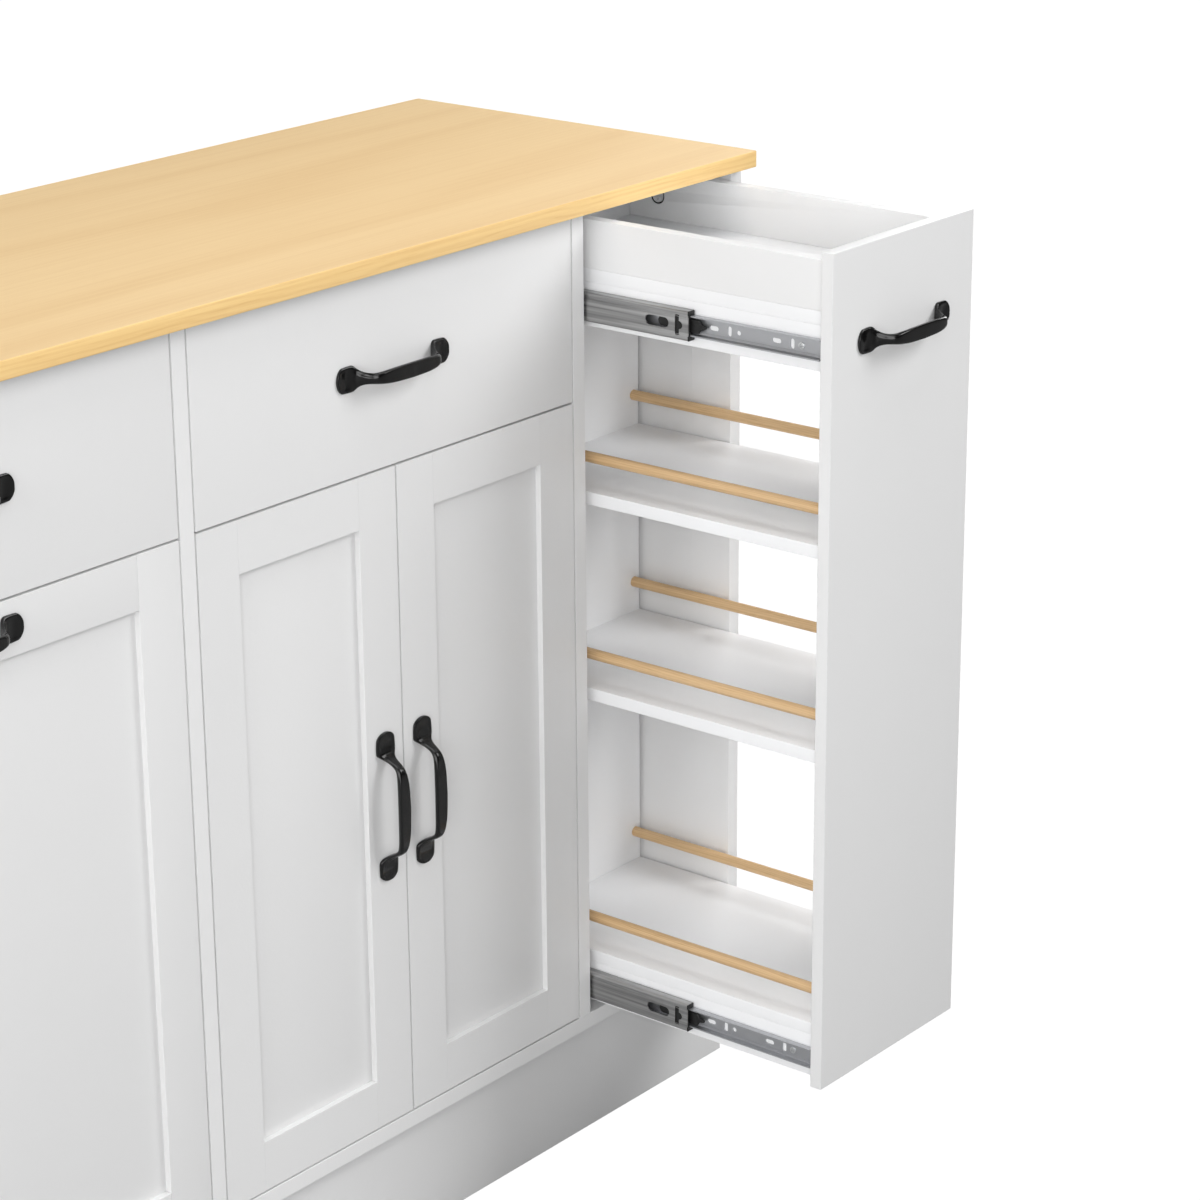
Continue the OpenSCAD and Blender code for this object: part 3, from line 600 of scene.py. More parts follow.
class Groups:
    """Shader groups that more than one finish uses, each built once."""

    _made: dict[str, bpy.types.ShaderNodeTree] = {}

    @classmethod
    def _start(cls, name: str, inputs: dict[str, object],
               outputs: Sequence[str]) -> tuple[Tree, bpy.types.Node, bpy.types.Node]:
        """A new group with named sockets.

        Args:
            name: name of the group.
            inputs: each input's name and its value, a number or three of them.
            outputs: names of its outputs, each a number.
        Returns:
            The group's tree, its input node and its output node.
        """
        group = bpy.data.node_groups.new(name, "ShaderNodeTree")
        for label, value in inputs.items():
            kind = "NodeSocketFloat" if isinstance(value, float) else "NodeSocketVector"
            socket = group.interface.new_socket(label, in_out="INPUT", socket_type=kind)
            socket.default_value = value
        for label in outputs:
            group.interface.new_socket(label, in_out="OUTPUT", socket_type="NodeSocketFloat")
        tree = Tree(group)
        cls._made[name] = group
        return tree, tree.node("NodeGroupInput"), tree.node("NodeGroupOutput")

    @classmethod
    def use(cls, tree: Tree, name: str, inputs: dict[str, object]) -> bpy.types.Node:
        """Places a group in a material's tree, building it the first time.

        Args:
            tree: the material's tree.
            name: name of the group.
            inputs: values or sockets, by name.
        Returns:
            The group node.
        """
        if name not in cls._made:
            getattr(cls, name)()
        made = tree.node("ShaderNodeGroup", node_tree=cls._made[name])
        for label, value in inputs.items():
            tree.feed(made.inputs[label], value)
        return made

    @classmethod
    def edge_wear(cls) -> None:
        """Mask of worn edges: the edge attribute broken up by two sizes of noise."""
        tree, given, result = cls._start("edge_wear", {"Vector": (0.0, 0.0, 0.0), "Amount": 0.5},
                                         ["Mask"])
        edge = tree.node("ShaderNodeAttribute", attribute_name="edge").outputs["Fac"]
        coarse = tree.noise(given.outputs["Vector"], 22.0, 3.0, 0.6)
        fine = tree.noise(given.outputs["Vector"], 260.0, 2.0, 0.7)
        patches = tree.remap(tree.math("MULTIPLY", coarse, fine), 0.2, 0.36, 0.0, 1.0)
        worn = tree.math("MULTIPLY", edge, patches)
        tree.feed(result.inputs["Mask"], tree.math("MULTIPLY", worn, given.outputs["Amount"]))

    @classmethod
    def orange_peel(cls) -> None:
        """Height of a sprayed or foiled skin: soft dimples over a finer tooth."""
        tree, given, result = cls._start("orange_peel", {"Vector": (0.0, 0.0, 0.0), "Scale": 400.0},
                                         ["Height"])
        dimples = tree.node("ShaderNodeTexVoronoi", {"Vector": given.outputs["Vector"],
                                                     "Scale": given.outputs["Scale"]},
                            feature="SMOOTH_F1")
        tooth = tree.noise(given.outputs["Vector"],
                           tree.math("MULTIPLY", given.outputs["Scale"], 3.1), 2.0)
        height = tree.math("ADD", tree.math("MULTIPLY", dimples.outputs["Distance"], 0.7),
                           tree.math("MULTIPLY", tooth, 0.3))
        tree.feed(result.inputs["Height"], height)

    @classmethod
    def handling(cls) -> None:
        """Faint clouds and smears that a hand or a cloth leaves: large clouds and long wipes."""
        tree, given, result = cls._start("handling", {"Vector": (0.0, 0.0, 0.0), "Scale": 6.0},
                                         ["Clouds", "Smears"])
        clouds = tree.noise(given.outputs["Vector"], given.outputs["Scale"], 4.0, 0.55)
        wiped = tree.stretched(given.outputs["Vector"], (5.0, 5.0, 26.0), (0.3, 0.5, 0.2))
        smears = tree.noise(wiped, given.outputs["Scale"], 3.0, 0.6, 0.8)
        tree.feed(result.inputs["Clouds"], clouds)
        tree.feed(result.inputs["Smears"], tree.remap(smears, 0.48, 0.72, 0.0, 1.0))

    @classmethod
    def wood_grain(cls) -> None:
        """Growth rings, streaks and pores of a board whose grain runs along local X.

        The coordinates are squeezed along the grain and bent by slow noise. Rings are a sine
        of the distance across the grain and of the bending, which closes them into long
        arches; streaks and pores are noise stretched along the grain.
        """
        tree, given, result = cls._start(
            "wood_grain", {"Vector": (0.0, 0.0, 0.0), "Rings": 26.0, "Bend": 1.0},
            ["Rings", "Streaks", "Pores"])
        vector = given.outputs["Vector"]
        slow = tree.noise(tree.stretched(vector, (0.9, 5.0, 5.0)), 1.0, 2.0, 0.4)
        wander = tree.noise(tree.stretched(vector, (3.0, 22.0, 22.0)), 1.0, 3.0, 0.5)
        parts = tree.node("ShaderNodeSeparateXYZ", {0: vector})
        across = tree.math("ADD", parts.outputs["Y"], parts.outputs["Z"])
        bent = tree.plus(tree.plus(across, slow, given.outputs["Bend"]), wander, 0.035)
        turns = tree.math("MULTIPLY", given.outputs["Rings"], 2 * math.pi)
        wave = tree.math("SINE", tree.math("MULTIPLY", bent, turns))
        ring = tree.math("POWER", tree.math("MULTIPLY_ADD", wave, 0.5, 0.5), 2.2)
        streaks = tree.noise(tree.stretched(vector, (4.0, 260.0, 260.0)), 1.0, 4.0, 0.6)
        pores = tree.noise(tree.stretched(vector, (38.0, 1500.0, 1500.0)), 1.0, 2.0, 0.5)
        tree.feed(result.inputs["Rings"], ring)
        tree.feed(result.inputs["Streaks"], streaks)
        tree.feed(result.inputs["Pores"], tree.remap(pores, 0.56, 0.7, 0.0, 1.0))

    @classmethod
    def brushed(cls) -> None:
        """Drawing lines of rolled steel, along local Y, with broader bands among them."""
        tree, given, result = cls._start("brushed", {"Vector": (0.0, 0.0, 0.0)}, ["Lines", "Bands"])
        fine = tree.noise(tree.stretched(given.outputs["Vector"], (2600.0, 14.0, 2600.0)), 1.0, 3.0)
        broad = tree.noise(tree.stretched(given.outputs["Vector"], (300.0, 5.0, 300.0)), 1.0, 3.0)
        tree.feed(result.inputs["Lines"], fine)
        tree.feed(result.inputs["Bands"], broad)


# ---------- finishes


@dataclass(frozen=True)
class Finish:
    """What every finish has.

    Args:
        name: name of the material.
        colour: its main colour, linear.
        roughness: its middle roughness.
    """

    name: str
    colour: Colour
    roughness: float

    def material(self) -> bpy.types.Material:
        """The finish as a material, built once.

        Returns:
            The material.
        """
        if self.name in bpy.data.materials:
            return bpy.data.materials[self.name]
        made = bpy.data.materials.new(self.name)
        made.use_nodes = True
        made.diffuse_color = (*self.colour, 1.0)
        made.node_tree.nodes.clear()
        tree = Tree(made.node_tree)
        shader = tree.node("ShaderNodeBsdfPrincipled")
        output = tree.node("ShaderNodeOutputMaterial")
        tree.feed(output.inputs["Surface"], shader.outputs["BSDF"])
        place = tree.node("ShaderNodeTexCoord").outputs["Object"]
        self.dress(tree, shader, place)
        return made

    def dress(self, tree: Tree, shader: bpy.types.Node, place: bpy.types.NodeSocket) -> None:
        """Fills the shader's sockets; each kind of finish has its own.

        Args:
            tree: the material's tree.
            shader: its shader.
            place: coordinates on the object.
        """
        raise NotImplementedError

    def bump(self, tree: Tree, shader: bpy.types.Node, height: object, distance: float) -> None:
        """Gives the shader a normal from a height times a distance in metres."""
        node = tree.node("ShaderNodeBump", {"Height": height, "Distance": distance, "Strength": 1.0})
        tree.feed(shader.inputs["Normal"], node.outputs["Normal"])


@dataclass(frozen=True)
class BoardFinish(Finish):
    """A white board: painted or foiled, with a faint skin and clouds.

    Args:
        shade: colour of its worn edges and clouds.
        peel: cells of its skin in a metre.
        depth: depth of the skin.
    """

    shade: Colour = (0.70, 0.70, 0.70)
    peel: float = 420.0
    depth: float = 0.00006

    def dress(self, tree: Tree, shader: bpy.types.Node, place: bpy.types.NodeSocket) -> None:
        """White satin skin."""
        marks = Groups.use(tree, "handling", {"Vector": place, "Scale": 5.0})
        worn = Groups.use(tree, "edge_wear", {"Vector": place, "Amount": 0.25})
        skin = Groups.use(tree, "orange_peel", {"Vector": place, "Scale": self.peel})
        tint = tree.remap(marks.outputs["Clouds"], 0.3, 0.75, 0.0, 0.09)
        shade = (*self.shade, 1.0)
        base = tree.blend(tint, (*self.colour, 1.0), shade)
        base = tree.blend(worn.outputs["Mask"], base, shade)
        tree.feed(shader.inputs["Base Color"], base)
        rough = tree.plus(self.roughness - 0.04, marks.outputs["Clouds"], 0.08)
        rough = tree.plus(rough, marks.outputs["Smears"], 0.03)
        tree.feed(shader.inputs["Roughness"], rough)
        self.bump(tree, shader, skin.outputs["Height"], self.depth)


@dataclass(frozen=True)
class WoodFinish(Finish):
    """Wood or a wood print.

    Args:
        dark: colour of its rings and streaks.
        rings: rings in a metre across the grain.
        bend: how far the rings wander, in metres.
        ring_share: how strongly the rings show.
        streak_share: how strongly the streaks show.
        pore_share: how strongly the pores show.
        grain: the direction of the grain.
        relief: depth of the grain.
    """

    dark: Colour = (0.5, 0.3, 0.12)
    rings: float = 26.0
    bend: float = 1.0
    ring_share: float = 0.3
    streak_share: float = 0.3
    pore_share: float = 0.2
    grain: Axis = Axis.X
    relief: float = 0.00004

    def dress(self, tree: Tree, shader: bpy.types.Node, place: bpy.types.NodeSocket) -> None:
        """Rings, streaks and pores over a base colour that drifts a little."""
        turn = (0.0, 0.0, math.pi / 2) if self.grain is Axis.Y else (0.0, 0.0, 0.0)
        along_grain = tree.stretched(place, (1.0, 1.0, 1.0), turn)
        grain = Groups.use(tree, "wood_grain", {"Vector": along_grain, "Rings": self.rings,
                                                "Bend": self.bend})
        marks = Groups.use(tree, "handling", {"Vector": place, "Scale": 3.0})
        rings = tree.math("MULTIPLY", grain.outputs["Rings"], self.ring_share)
        streaks = tree.math("MULTIPLY", tree.remap(grain.outputs["Streaks"], 0.35, 0.75, 0.0, 1.0),
                            self.streak_share)
        pores = tree.math("MULTIPLY", grain.outputs["Pores"], self.pore_share)
        total = tree.math("ADD", tree.math("ADD", rings, streaks), pores, clamp=True)
        base = tree.blend(total, (*self.colour, 1.0), (*self.dark, 1.0))
        drift = tree.remap(marks.outputs["Clouds"], 0.3, 0.7, 0.0, 0.12)
        tree.feed(shader.inputs["Base Color"], tree.blend(drift, base, (*self.dark, 1.0)))
        tree.feed(shader.inputs["Roughness"], tree.plus(self.roughness, total, 0.1))
        self.bump(tree, shader, tree.math("SUBTRACT", 1.0, total), self.relief)


@dataclass(frozen=True)
class SteelFinish(Finish):
    """Rolled and plated steel with drawing lines.

    Args:
        dark: colour between the drawing lines and of the dull patches.
        lines: how strongly the lines show.
        metal: share of bare metal, the rest being an oxide skin.
    """

    dark: Colour = (0.2, 0.2, 0.21)
    lines: float = 0.5
    metal: float = 1.0

    def dress(self, tree: Tree, shader: bpy.types.Node, place: bpy.types.NodeSocket) -> None:
        """Metal with fine lines in colour, roughness and relief."""
        drawn = Groups.use(tree, "brushed", {"Vector": place})
        marks = Groups.use(tree, "handling", {"Vector": place, "Scale": 30.0})
        streak = tree.math("MULTIPLY", tree.remap(drawn.outputs["Bands"], 0.3, 0.7, 0.0, 1.0),
                           self.lines)
        base = tree.blend(streak, (*self.colour, 1.0), (*self.dark, 1.0))
        tree.feed(shader.inputs["Base Color"], base)
        shader.inputs["Metallic"].default_value = self.metal
        rough = tree.plus(self.roughness, drawn.outputs["Lines"], 0.12)
        rough = tree.plus(rough, marks.outputs["Clouds"], 0.1)
        tree.feed(shader.inputs["Roughness"], rough)
        self.bump(tree, shader, drawn.outputs["Lines"], 0.00001)


@dataclass(frozen=True)
class BlackFinish(Finish):
    """Black coated metal or moulded plastic, with a fine tooth and rubbed edges.

    Args:
        rubbed: colour where the coat is rubbed.
        tooth: grains of the coat in a metre.
        depth: depth of the tooth.
        shine: strength of the mirror part against a usual plastic's.
    """

    rubbed: Colour = (0.008, 0.008, 0.008)
    tooth: float = 1400.0
    depth: float = 0.000001
    shine: float = 0.42

    def dress(self, tree: Tree, shader: bpy.types.Node, place: bpy.types.NodeSocket) -> None:
        """Satin black coat."""
        marks = Groups.use(tree, "handling", {"Vector": place, "Scale": 40.0})
        worn = Groups.use(tree, "edge_wear", {"Vector": place, "Amount": 0.7})
        skin = Groups.use(tree, "orange_peel", {"Vector": place, "Scale": self.tooth})
        soft = tree.remap(marks.outputs["Clouds"], 0.35, 0.7, 0.0, 0.35)
        mask = tree.math("ADD", soft, worn.outputs["Mask"], clamp=True)
        tree.feed(shader.inputs["Base Color"],
                  tree.blend(mask, (*self.colour, 1.0), (*self.rubbed, 1.0)))
        rough = tree.plus(self.roughness, marks.outputs["Smears"], 0.08)
        tree.feed(shader.inputs["Roughness"], rough)
        shader.inputs["Specular IOR Level"].default_value = self.shine
        self.bump(tree, shader, skin.outputs["Height"], self.depth)


FRONT_PAINT = BoardFinish("front_paint", (0.82, 0.82, 0.82), 0.4)
CARCASS_FOIL = BoardFinish("carcass_foil", (0.855, 0.855, 0.855), 0.44, peel=650.0, depth=0.00004)
SHELF_FOIL = BoardFinish("shelf_foil", (0.92, 0.925, 0.935), 0.44, peel=650.0, depth=0.00004)
THIN_BOARD = BoardFinish("thin_board", (0.82, 0.82, 0.82), 0.55, peel=900.0, depth=0.00008)
TOP_LAMINATE = WoodFinish("top_laminate", (0.88, 0.65, 0.36), 0.5, dark=(0.71, 0.46, 0.21),
                          rings=9.0, bend=0.34, ring_share=0.22, streak_share=0.2, pore_share=0.12,
                          relief=0.00002)
TOP_BAND = WoodFinish("top_band", (0.96, 0.68, 0.30), 0.4, dark=(0.74, 0.44, 0.16), rings=210.0,
                      bend=0.01, ring_share=0.25, streak_share=0.35, pore_share=0.2)
ROD_WOOD = WoodFinish("rod_wood", (0.74, 0.51, 0.28), 0.5, dark=(0.50, 0.30, 0.13), rings=330.0,
                      bend=0.05, ring_share=0.25, streak_share=0.45, pore_share=0.4, grain=Axis.Y,
                      relief=0.00006)
SLIDE_STEEL = SteelFinish("slide_steel", (0.60, 0.60, 0.60), 0.26, dark=(0.24, 0.24, 0.24),
                          lines=0.7)
MEMBER_STEEL = SteelFinish("member_steel", (0.52, 0.52, 0.52), 0.28, dark=(0.18, 0.18, 0.18),
                           lines=0.7)
PLATED_STEEL = SteelFinish("plated_steel", (0.58, 0.57, 0.55), 0.26, dark=(0.33, 0.32, 0.31),
                           lines=0.3)
CAM_ZINC = SteelFinish("cam_zinc", (0.74, 0.74, 0.74), 0.45, dark=(0.60, 0.60, 0.60), lines=0.2,
                       metal=0.2)
PULL_BLACK = BlackFinish("pull_black", (0.003, 0.003, 0.003), 0.17)
# black plastic of the slides' clips and levers; on the cam rims the same black is painted shade of
# the gap round each disc
SLIDE_PLASTIC_AND_CAM_SHADE = BlackFinish("slide_plastic_and_cam_shade", (0.008, 0.008, 0.008), 0.4, tooth=1800.0, depth=0.00001)


# ---------- boards


@dataclass
class Boards:
    """The boards of one node.

    Args:
        node: the node that they stand for.
        finish: their finish.
        cut: plain boards are rounded boxes; pocketed ones are merged copies with soft edges.
        radius: radius of their edges.
    """

    node: str
    finish: Finish
    cut: Cut = Cut.PLAIN
    radius: float = 0.4 * MM

    def build(self, frame: Frame) -> None:
        """Makes the piece and dresses it."""
        make = self.plain if self.cut is Cut.PLAIN else self.pocketed
        frame.adopt(make(frame), self.node, self.finish.material())

    def plain(self, frame: Frame) -> bpy.types.Object:
        """One rounded box for each solid of the node."""
        boxes = [rounded_box(low, high, self.radius) for low, high in frame.solids(self.node)]
        return write_mesh(f"{self.node}_boards", joined(boxes))

    def pocketed(self, frame: Frame) -> bpy.types.Object:
        """A merged copy of the node's solids, its flat faces joined up and its edges beveled."""
        mesh = merged_mesh(frame.nodes[self.node], f"{self.node}_boards")
        piece = finished(f"{self.node}_boards", mesh, 40.0)
        soften(piece, self.radius)
        return piece


def merged_mesh(source: bpy.types.Object, name: str) -> bpy.types.Mesh:
    """A copy of a node's mesh with shared points merged and flat faces joined up.

    Args:
        source: the node's object.
        name: name of the copy.
    Returns:
        The copy.
    """
    work = bmesh.new()
    work.from_mesh(source.data)
    bmesh.ops.remove_doubles(work, verts=work.verts, dist=WELD / 2)
    bmesh.ops.dissolve_limit(work, angle_limit=math.radians(0.5), verts=work.verts,
                             edges=work.edges)
    mesh = bpy.data.meshes.new(name)
    work.to_mesh(mesh)
    work.free()
    return mesh


def soften(piece: bpy.types.Object, radius: float) -> None:
    """Rounds the edges of a piece where two faces meet at more than half a right angle.

    Args:
        piece: the piece.
        radius: radius of its edges.
    """
    bevel = piece.modifiers.new("soft_edges", "BEVEL")
    bevel.width = radius
    bevel.segments = 2
    bevel.limit_method = "ANGLE"
    bevel.angle_limit = math.radians(45.0)
    bevel.use_clamp_overlap = True
    bevel.harden_normals = True


@dataclass
class Worktop:
    """The worktop: a laminated slab, a white sheet under it and a thin band round its edge.

    Args:
        node: the node that it stands for.
        band: thickness of the band.
        backing: thickness of the sheet under the slab.
        corner: radius of the band's upright corners.
        edge: radius of the band's outer edges.
        lip: radius of the slab's edges, which leaves a fine line beside the band.
    """

    node: str = "worktop"
    band: float = 1.0 * MM
    backing: float = 0.5 * MM
    corner: float = 2.0 * MM
    edge: float = 0.7 * MM
    lip: float = 0.15 * MM

    def build(self, frame: Frame) -> None:
        """Makes the slab and the band.

        Args:
            frame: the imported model.
        """
        low, high = (np.array(corner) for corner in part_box(self.node))
        inset = np.array([self.band, self.band, 0.0])
        lifted = inset + np.array([0.0, 0.0, self.backing])
        under = np.array([high[0], high[1], low[2] + self.backing])
        slab = write_mesh("worktop_slab", rounded_box(low + lifted, high - inset, self.lip))
        sheet = write_mesh("worktop_backing", rounded_box(low + inset, under - inset, self.lip))
        band = write_mesh("worktop_band", self.ring(low, high))
        frame.adopt(slab, self.node, TOP_LAMINATE.material())
        frame.adopt(sheet, self.node, CARCASS_FOIL.material(), stands_for=False)
        frame.adopt(band, self.node, TOP_BAND.material(), stands_for=False)

    def ring(self, low: Floats, high: Floats) -> Shell:
        """The band: a flat section with two rounded outer edges, carried round the rectangle.

        A point of the section at depth d behind the outer face follows the rectangle with
        rounded corners, moved inwards by d; the corners are arcs of the corner radius less d.

        Args:
            low: lowest corner of the worktop.
            high: its highest corner.
        Returns:
            The closed surface.
        """
        turns = np.linspace(0.0, math.pi / 2, 6)
        centres = [(high[0] - self.corner, low[1] + self.corner, -math.pi / 2),
                   (high[0] - self.corner, high[1] - self.corner, 0.0),
                   (low[0] + self.corner, high[1] - self.corner, math.pi / 2),
                   (low[0] + self.corner, low[1] + self.corner, math.pi)]
        place = np.array([(x, y, start + turn) for x, y, start in centres for turn in turns])
        arc = np.linspace(0.0, math.pi / 2, 5)
        depth = self.edge * (1 - np.cos(arc))
        height = self.edge * (1 - np.sin(arc))
        section = np.concatenate([
            [[self.band, high[2]]],
            np.column_stack([depth[::-1], high[2] - height[::-1]]),
            np.column_stack([depth, low[2] + height]),
            [[self.band, low[2]]]])
        reach = self.corner - section[None, :, 0]
        rings = np.stack([place[:, None, 0] + np.cos(place[:, None, 2]) * reach,
                          place[:, None, 1] + np.sin(place[:, None, 2]) * reach,
                          np.broadcast_to(section[:, 1], (len(place), len(section)))], axis=2)
        faces = grid_faces(len(place) + 1, len(section), True) % (len(place) * len(section))
        return Shell(rings.reshape(-1, 3), [faces])


# ---------- pulls


@dataclass
class Pull:
    """A cast pull with a round-ended foot at each end and a bowed bar.

    Each half is a run of upright sections from the tip of a foot to the middle of the bar.
    A section has an upper and a lower part, which meet at its widest line; each part is a
    rounded rectangle or an oval, by its exponent, and the upper one is cut off level. On
    the feet the widest line lies on the front. On the bar it lies near the outer face, and
    the cut grows from nothing at the neck to nearly the whole width, which makes a flat,
    leaf-shaped facet with a crisp edge.

    Args:
        node: the node that it stands for.
        centre: middle of the pull on the face of its front.
        pose: level or upright.
        depth: thickness of the front that the screws go through.
        screws: whether the pull's screws belong to its own node.
        centres: distance between the screws.
        foot_l: length of a foot.
        foot_w: width of a foot.
        nose: depth of a foot's rounded end.
        reach: how far the bar stands out.
        ease: depth of the soft edge round a foot's end.
        hollow: depth of the hollow in a foot's face.
        bite: how far a screw goes into the casting, in shares of the reach.
        rings: sections in each half, apart from those of the rounded end.
        flank: points on each side of a section above its widest line.
        crown: points across its flat.
        belly: points below its widest line.
    """

    node: str
    centre: Point
    pose: PullPose
    depth: float
    screws: bool = True
    centres: float = 112 * MM
    foot_l: float = 24.5 * MM
    foot_w: float = 22 * MM
    nose: float = 8 * MM
    reach: float = 23 * MM
    ease: float = 1.1 * MM
    hollow: float = 1.0 * MM
    bite: float = 0.06
    rings: int = 90
    flank: int = 8
    crown: int = 12
    belly: int = 22

    def sections(self) -> Floats:
        """Rows from tip to middle, in metres but for the last three values.

        The rows are written in shares: the place behind the tip in lengths of a foot, the
        half width in half widths of a foot, and the bottom, the top and the part above the
        widest line in shares of the reach. The last three are the share of the upper part
        that the cut leaves, and the exponents of the upper and the lower part.

        Returns:
            One row of eight values for each section.
        """
        shares = np.array([
            # place width  bottom top    above  cut    upper lower
            (0.240, 0.975, 0.000, 0.112, 0.104, 0.970, 4.5, 9.0),
            (0.390, 1.000, 0.000, 0.119, 0.111, 0.970, 4.5, 9.0),
            (0.610, 1.015, 0.000, 0.127, 0.119, 0.970, 4.5, 9.0),
            (0.740, 1.000, 0.000, 0.142, 0.131, 0.970, 4.0, 9.0),
            (0.815, 0.910, 0.000, 0.192, 0.169, 0.980, 3.2, 7.0),
            (0.890, 0.720, 0.020, 0.300, 0.210, 0.985, 2.6, 4.5),
            (0.970, 0.550, 0.110, 0.450, 0.200, 0.990, 2.3, 3.0),
            (1.055, 0.445, 0.280, 0.625, 0.175, 0.990, 2.2, 2.5),
            (1.165, 0.415, 0.480, 0.795, 0.150, 0.970, 2.1, 2.2),
            (1.300, 0.440, 0.620, 0.895, 0.125, 0.860, 2.0, 2.1),
            (1.540, 0.500, 0.680, 0.950, 0.095, 0.640, 2.0, 2.1),
            (1.980, 0.560, 0.705, 0.985, 0.070, 0.440, 2.0, 2.1),
            (self.tip() / self.foot_l, 0.590, 0.715, 1.000, 0.060, 0.360, 2.0, 2.1),
        ])
        scale = np.array([-self.foot_l, self.foot_w / 2, self.reach, self.reach, self.reach,
                          1.0, 1.0, 1.0])
        rows = shares * scale
        rows[:, 0] += self.tip()
        return rows

    def tip(self) -> float:
        """Distance of a foot's outer end from the middle of the pull."""
        return self.centres / 2 + self.foot_l / 2

    def half_run(self) -> Floats:
        """The sections from tip to middle, with the rounded end in front of them.

        The end is a quarter of an ellipse: the place is the cosine and the half width the
        sine of an angle. The top rises to its height over a short quarter round.

        Returns:
            The rows, from the tip to the middle.
        """
        body = curve_through(self.sections(), self.rings)
        first = body[0]
        stop = math.acos(1 - (self.tip() - first[0]) / self.nose)
        angle = np.linspace(0.06, stop, 12)[:-1, None]
        end = np.repeat(first[None], len(angle), axis=0)
        end[:, :1] = self.tip() - self.nose * (1 - np.cos(angle))
        end[:, 1:2] = first[1] * np.sin(angle) / math.sin(stop)
        back = np.clip((self.tip() - end[:, 0]) / self.ease, 0, 1)
        lost = 0.4 * (1 - np.sqrt(1 - (1 - back) ** 2))
        end[:, 3] = first[3] - first[4] * lost
        end[:, 4] = first[4] * (1 - lost)
        return np.concatenate([end, body])

    def casting(self) -> Shell:
        """The whole casting in local axes: x along, y across, z away from the front.

        A section's upper part is a power of the cosine across and of the sine upwards, cut
        off level; the lower part is the same downwards without the cut. The flat's rim is
        drawn down a little by the eighth power of the place across it.

        Returns:
            The closed surface.
        """
        run = self.half_run()
        other = run[:-1][::-1].copy()
        other[:, 0] *= -1
        run = np.concatenate([run, other])
        place, half, bottom, top, above, cut, upper, lower = (run[:, i:i + 1] for i in range(8))
        level = top - above
        edge = np.arcsin(cut ** (upper / 2))
        side = np.linspace(0.0, 1.0, self.flank, endpoint=False)[None]
        flat = np.linspace(0.0, 1.0, self.crown, endpoint=False)[None]
        rise = np.concatenate([side * edge, edge + flat * (math.pi - 2 * edge),
                               math.pi - edge + side * edge], axis=1)
        y_up = half * power(np.cos(rise), 2 / upper)
        z_up = level + above / cut * np.minimum(power(np.sin(rise), 2 / upper), cut)
        across = np.clip(np.abs(y_up) / (half * power(np.cos(edge), 2 / upper)), 0, 1)
        z_up = z_up - 0.05 * above * across**8 * (rise >= edge) * (rise <= math.pi - edge)
        fall = math.pi + np.arange(self.belly)[None] * (math.pi / self.belly)
        y_down = half * power(np.cos(fall), 2 / lower)
        z_down = level + (level - bottom) * power(np.sin(fall), 2 / lower)
        y = np.concatenate([y_up, y_down], axis=1)
        z = np.concatenate([z_up - self.dish(place, y_up, half), z_down], axis=1)
        rings = np.stack([np.broadcast_to(place, y.shape), y, z], axis=2)
        return rings_to_shell(rings[::-1])

    def dish(self, place: Floats, across: Floats, half: Floats) -> Floats:
        """Depth of the hollow in a foot's face: a bell curve along times a flat-topped one across.

        Args:
            place: places along the pull.
            across: places across it.
            half: half widths of the sections.
        Returns:
            How far each point is lowered.
        """
        middle = self.centres / 2 + self.foot_l * 0.08
        away = (np.abs(place) - middle) / (self.foot_l * 0.27)
        share = np.clip(np.abs(across) / np.maximum(half, 1e-6), 0, 1)
        return self.hollow * np.exp(-away**2 * 1.6) * (1 - share**4) ** 2

    def build(self, frame: Frame) -> None:
        """Makes the casting and, where they belong to it, its screws.

        Args:
            frame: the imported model.
        """
        rows = {PullPose.LEVEL: [[1, 0, 0], [0, 0, 1], [0, -1, 0]],
                PullPose.UPRIGHT: [[0, 0, 1], [1, 0, 0], [0, -1, 0]]}[self.pose]
        axes = np.array(rows, float)
        casting = write_mesh(f"{self.node}_casting", self.casting().placed(axes, self.centre), 50.0)
        frame.adopt(casting, self.node, PULL_BLACK.material())
        if self.screws:
            screw = pull_screw(self.depth, self.bite * self.reach)
            screws = joined(screw.placed(axes, self.screw_place(side, axes)) for side in (-1, 1))
            piece = write_mesh(f"{self.node}_screws", screws)
            frame.adopt(piece, self.node, PLATED_STEEL.material(), stands_for=False)

    def screw_place(self, side: int, axes: Floats) -> Floats:
        """Where one of the screws goes through the face of the front."""
        return np.asarray(self.centre) + axes[0] * side * self.centres / 2


def pull_screw(depth: float, bite: float) -> Shell:
    """A pull's screw: a shaft through the front and a crossed head behind it, along local z.

    Args:
        depth: thickness of the front.
        bite: how far the shaft goes into the casting.
    Returns:
        The closed surface, with z = 0 on the face of the front.
    """
    shaft = turned(np.array([[SCREW_R, -depth], [SCREW_R, bite]]), 20)
    head = crossed_head(SCREW_HEAD_R, SCREW_HEAD_H, SCREW_CROSS)
    return joined([shaft, head.placed(along(Axis.Z, -1.0), (0, 0, -depth))])


# ---------- rack slides


def slot_outline(length: float, height: float, points: int = 32) -> Floats:
    """Outline of a round-ended slot about its middle: half circles on the ends of a line.

    Args:
        length: its size along the first axis.
        height: its size along the second axis.
        points: points in the outline.
    Returns:
        Rows of two values, anticlockwise.
    """
    radius = min(length, height) / 2
    angle = (np.arange(points) + 0.5) * (2 * math.pi / points)
    shift = np.array([length / 2 - radius, height / 2 - radius])
    circle = np.column_stack([np.cos(angle), np.sin(angle)])
    return circle * radius + np.sign(circle) * shift


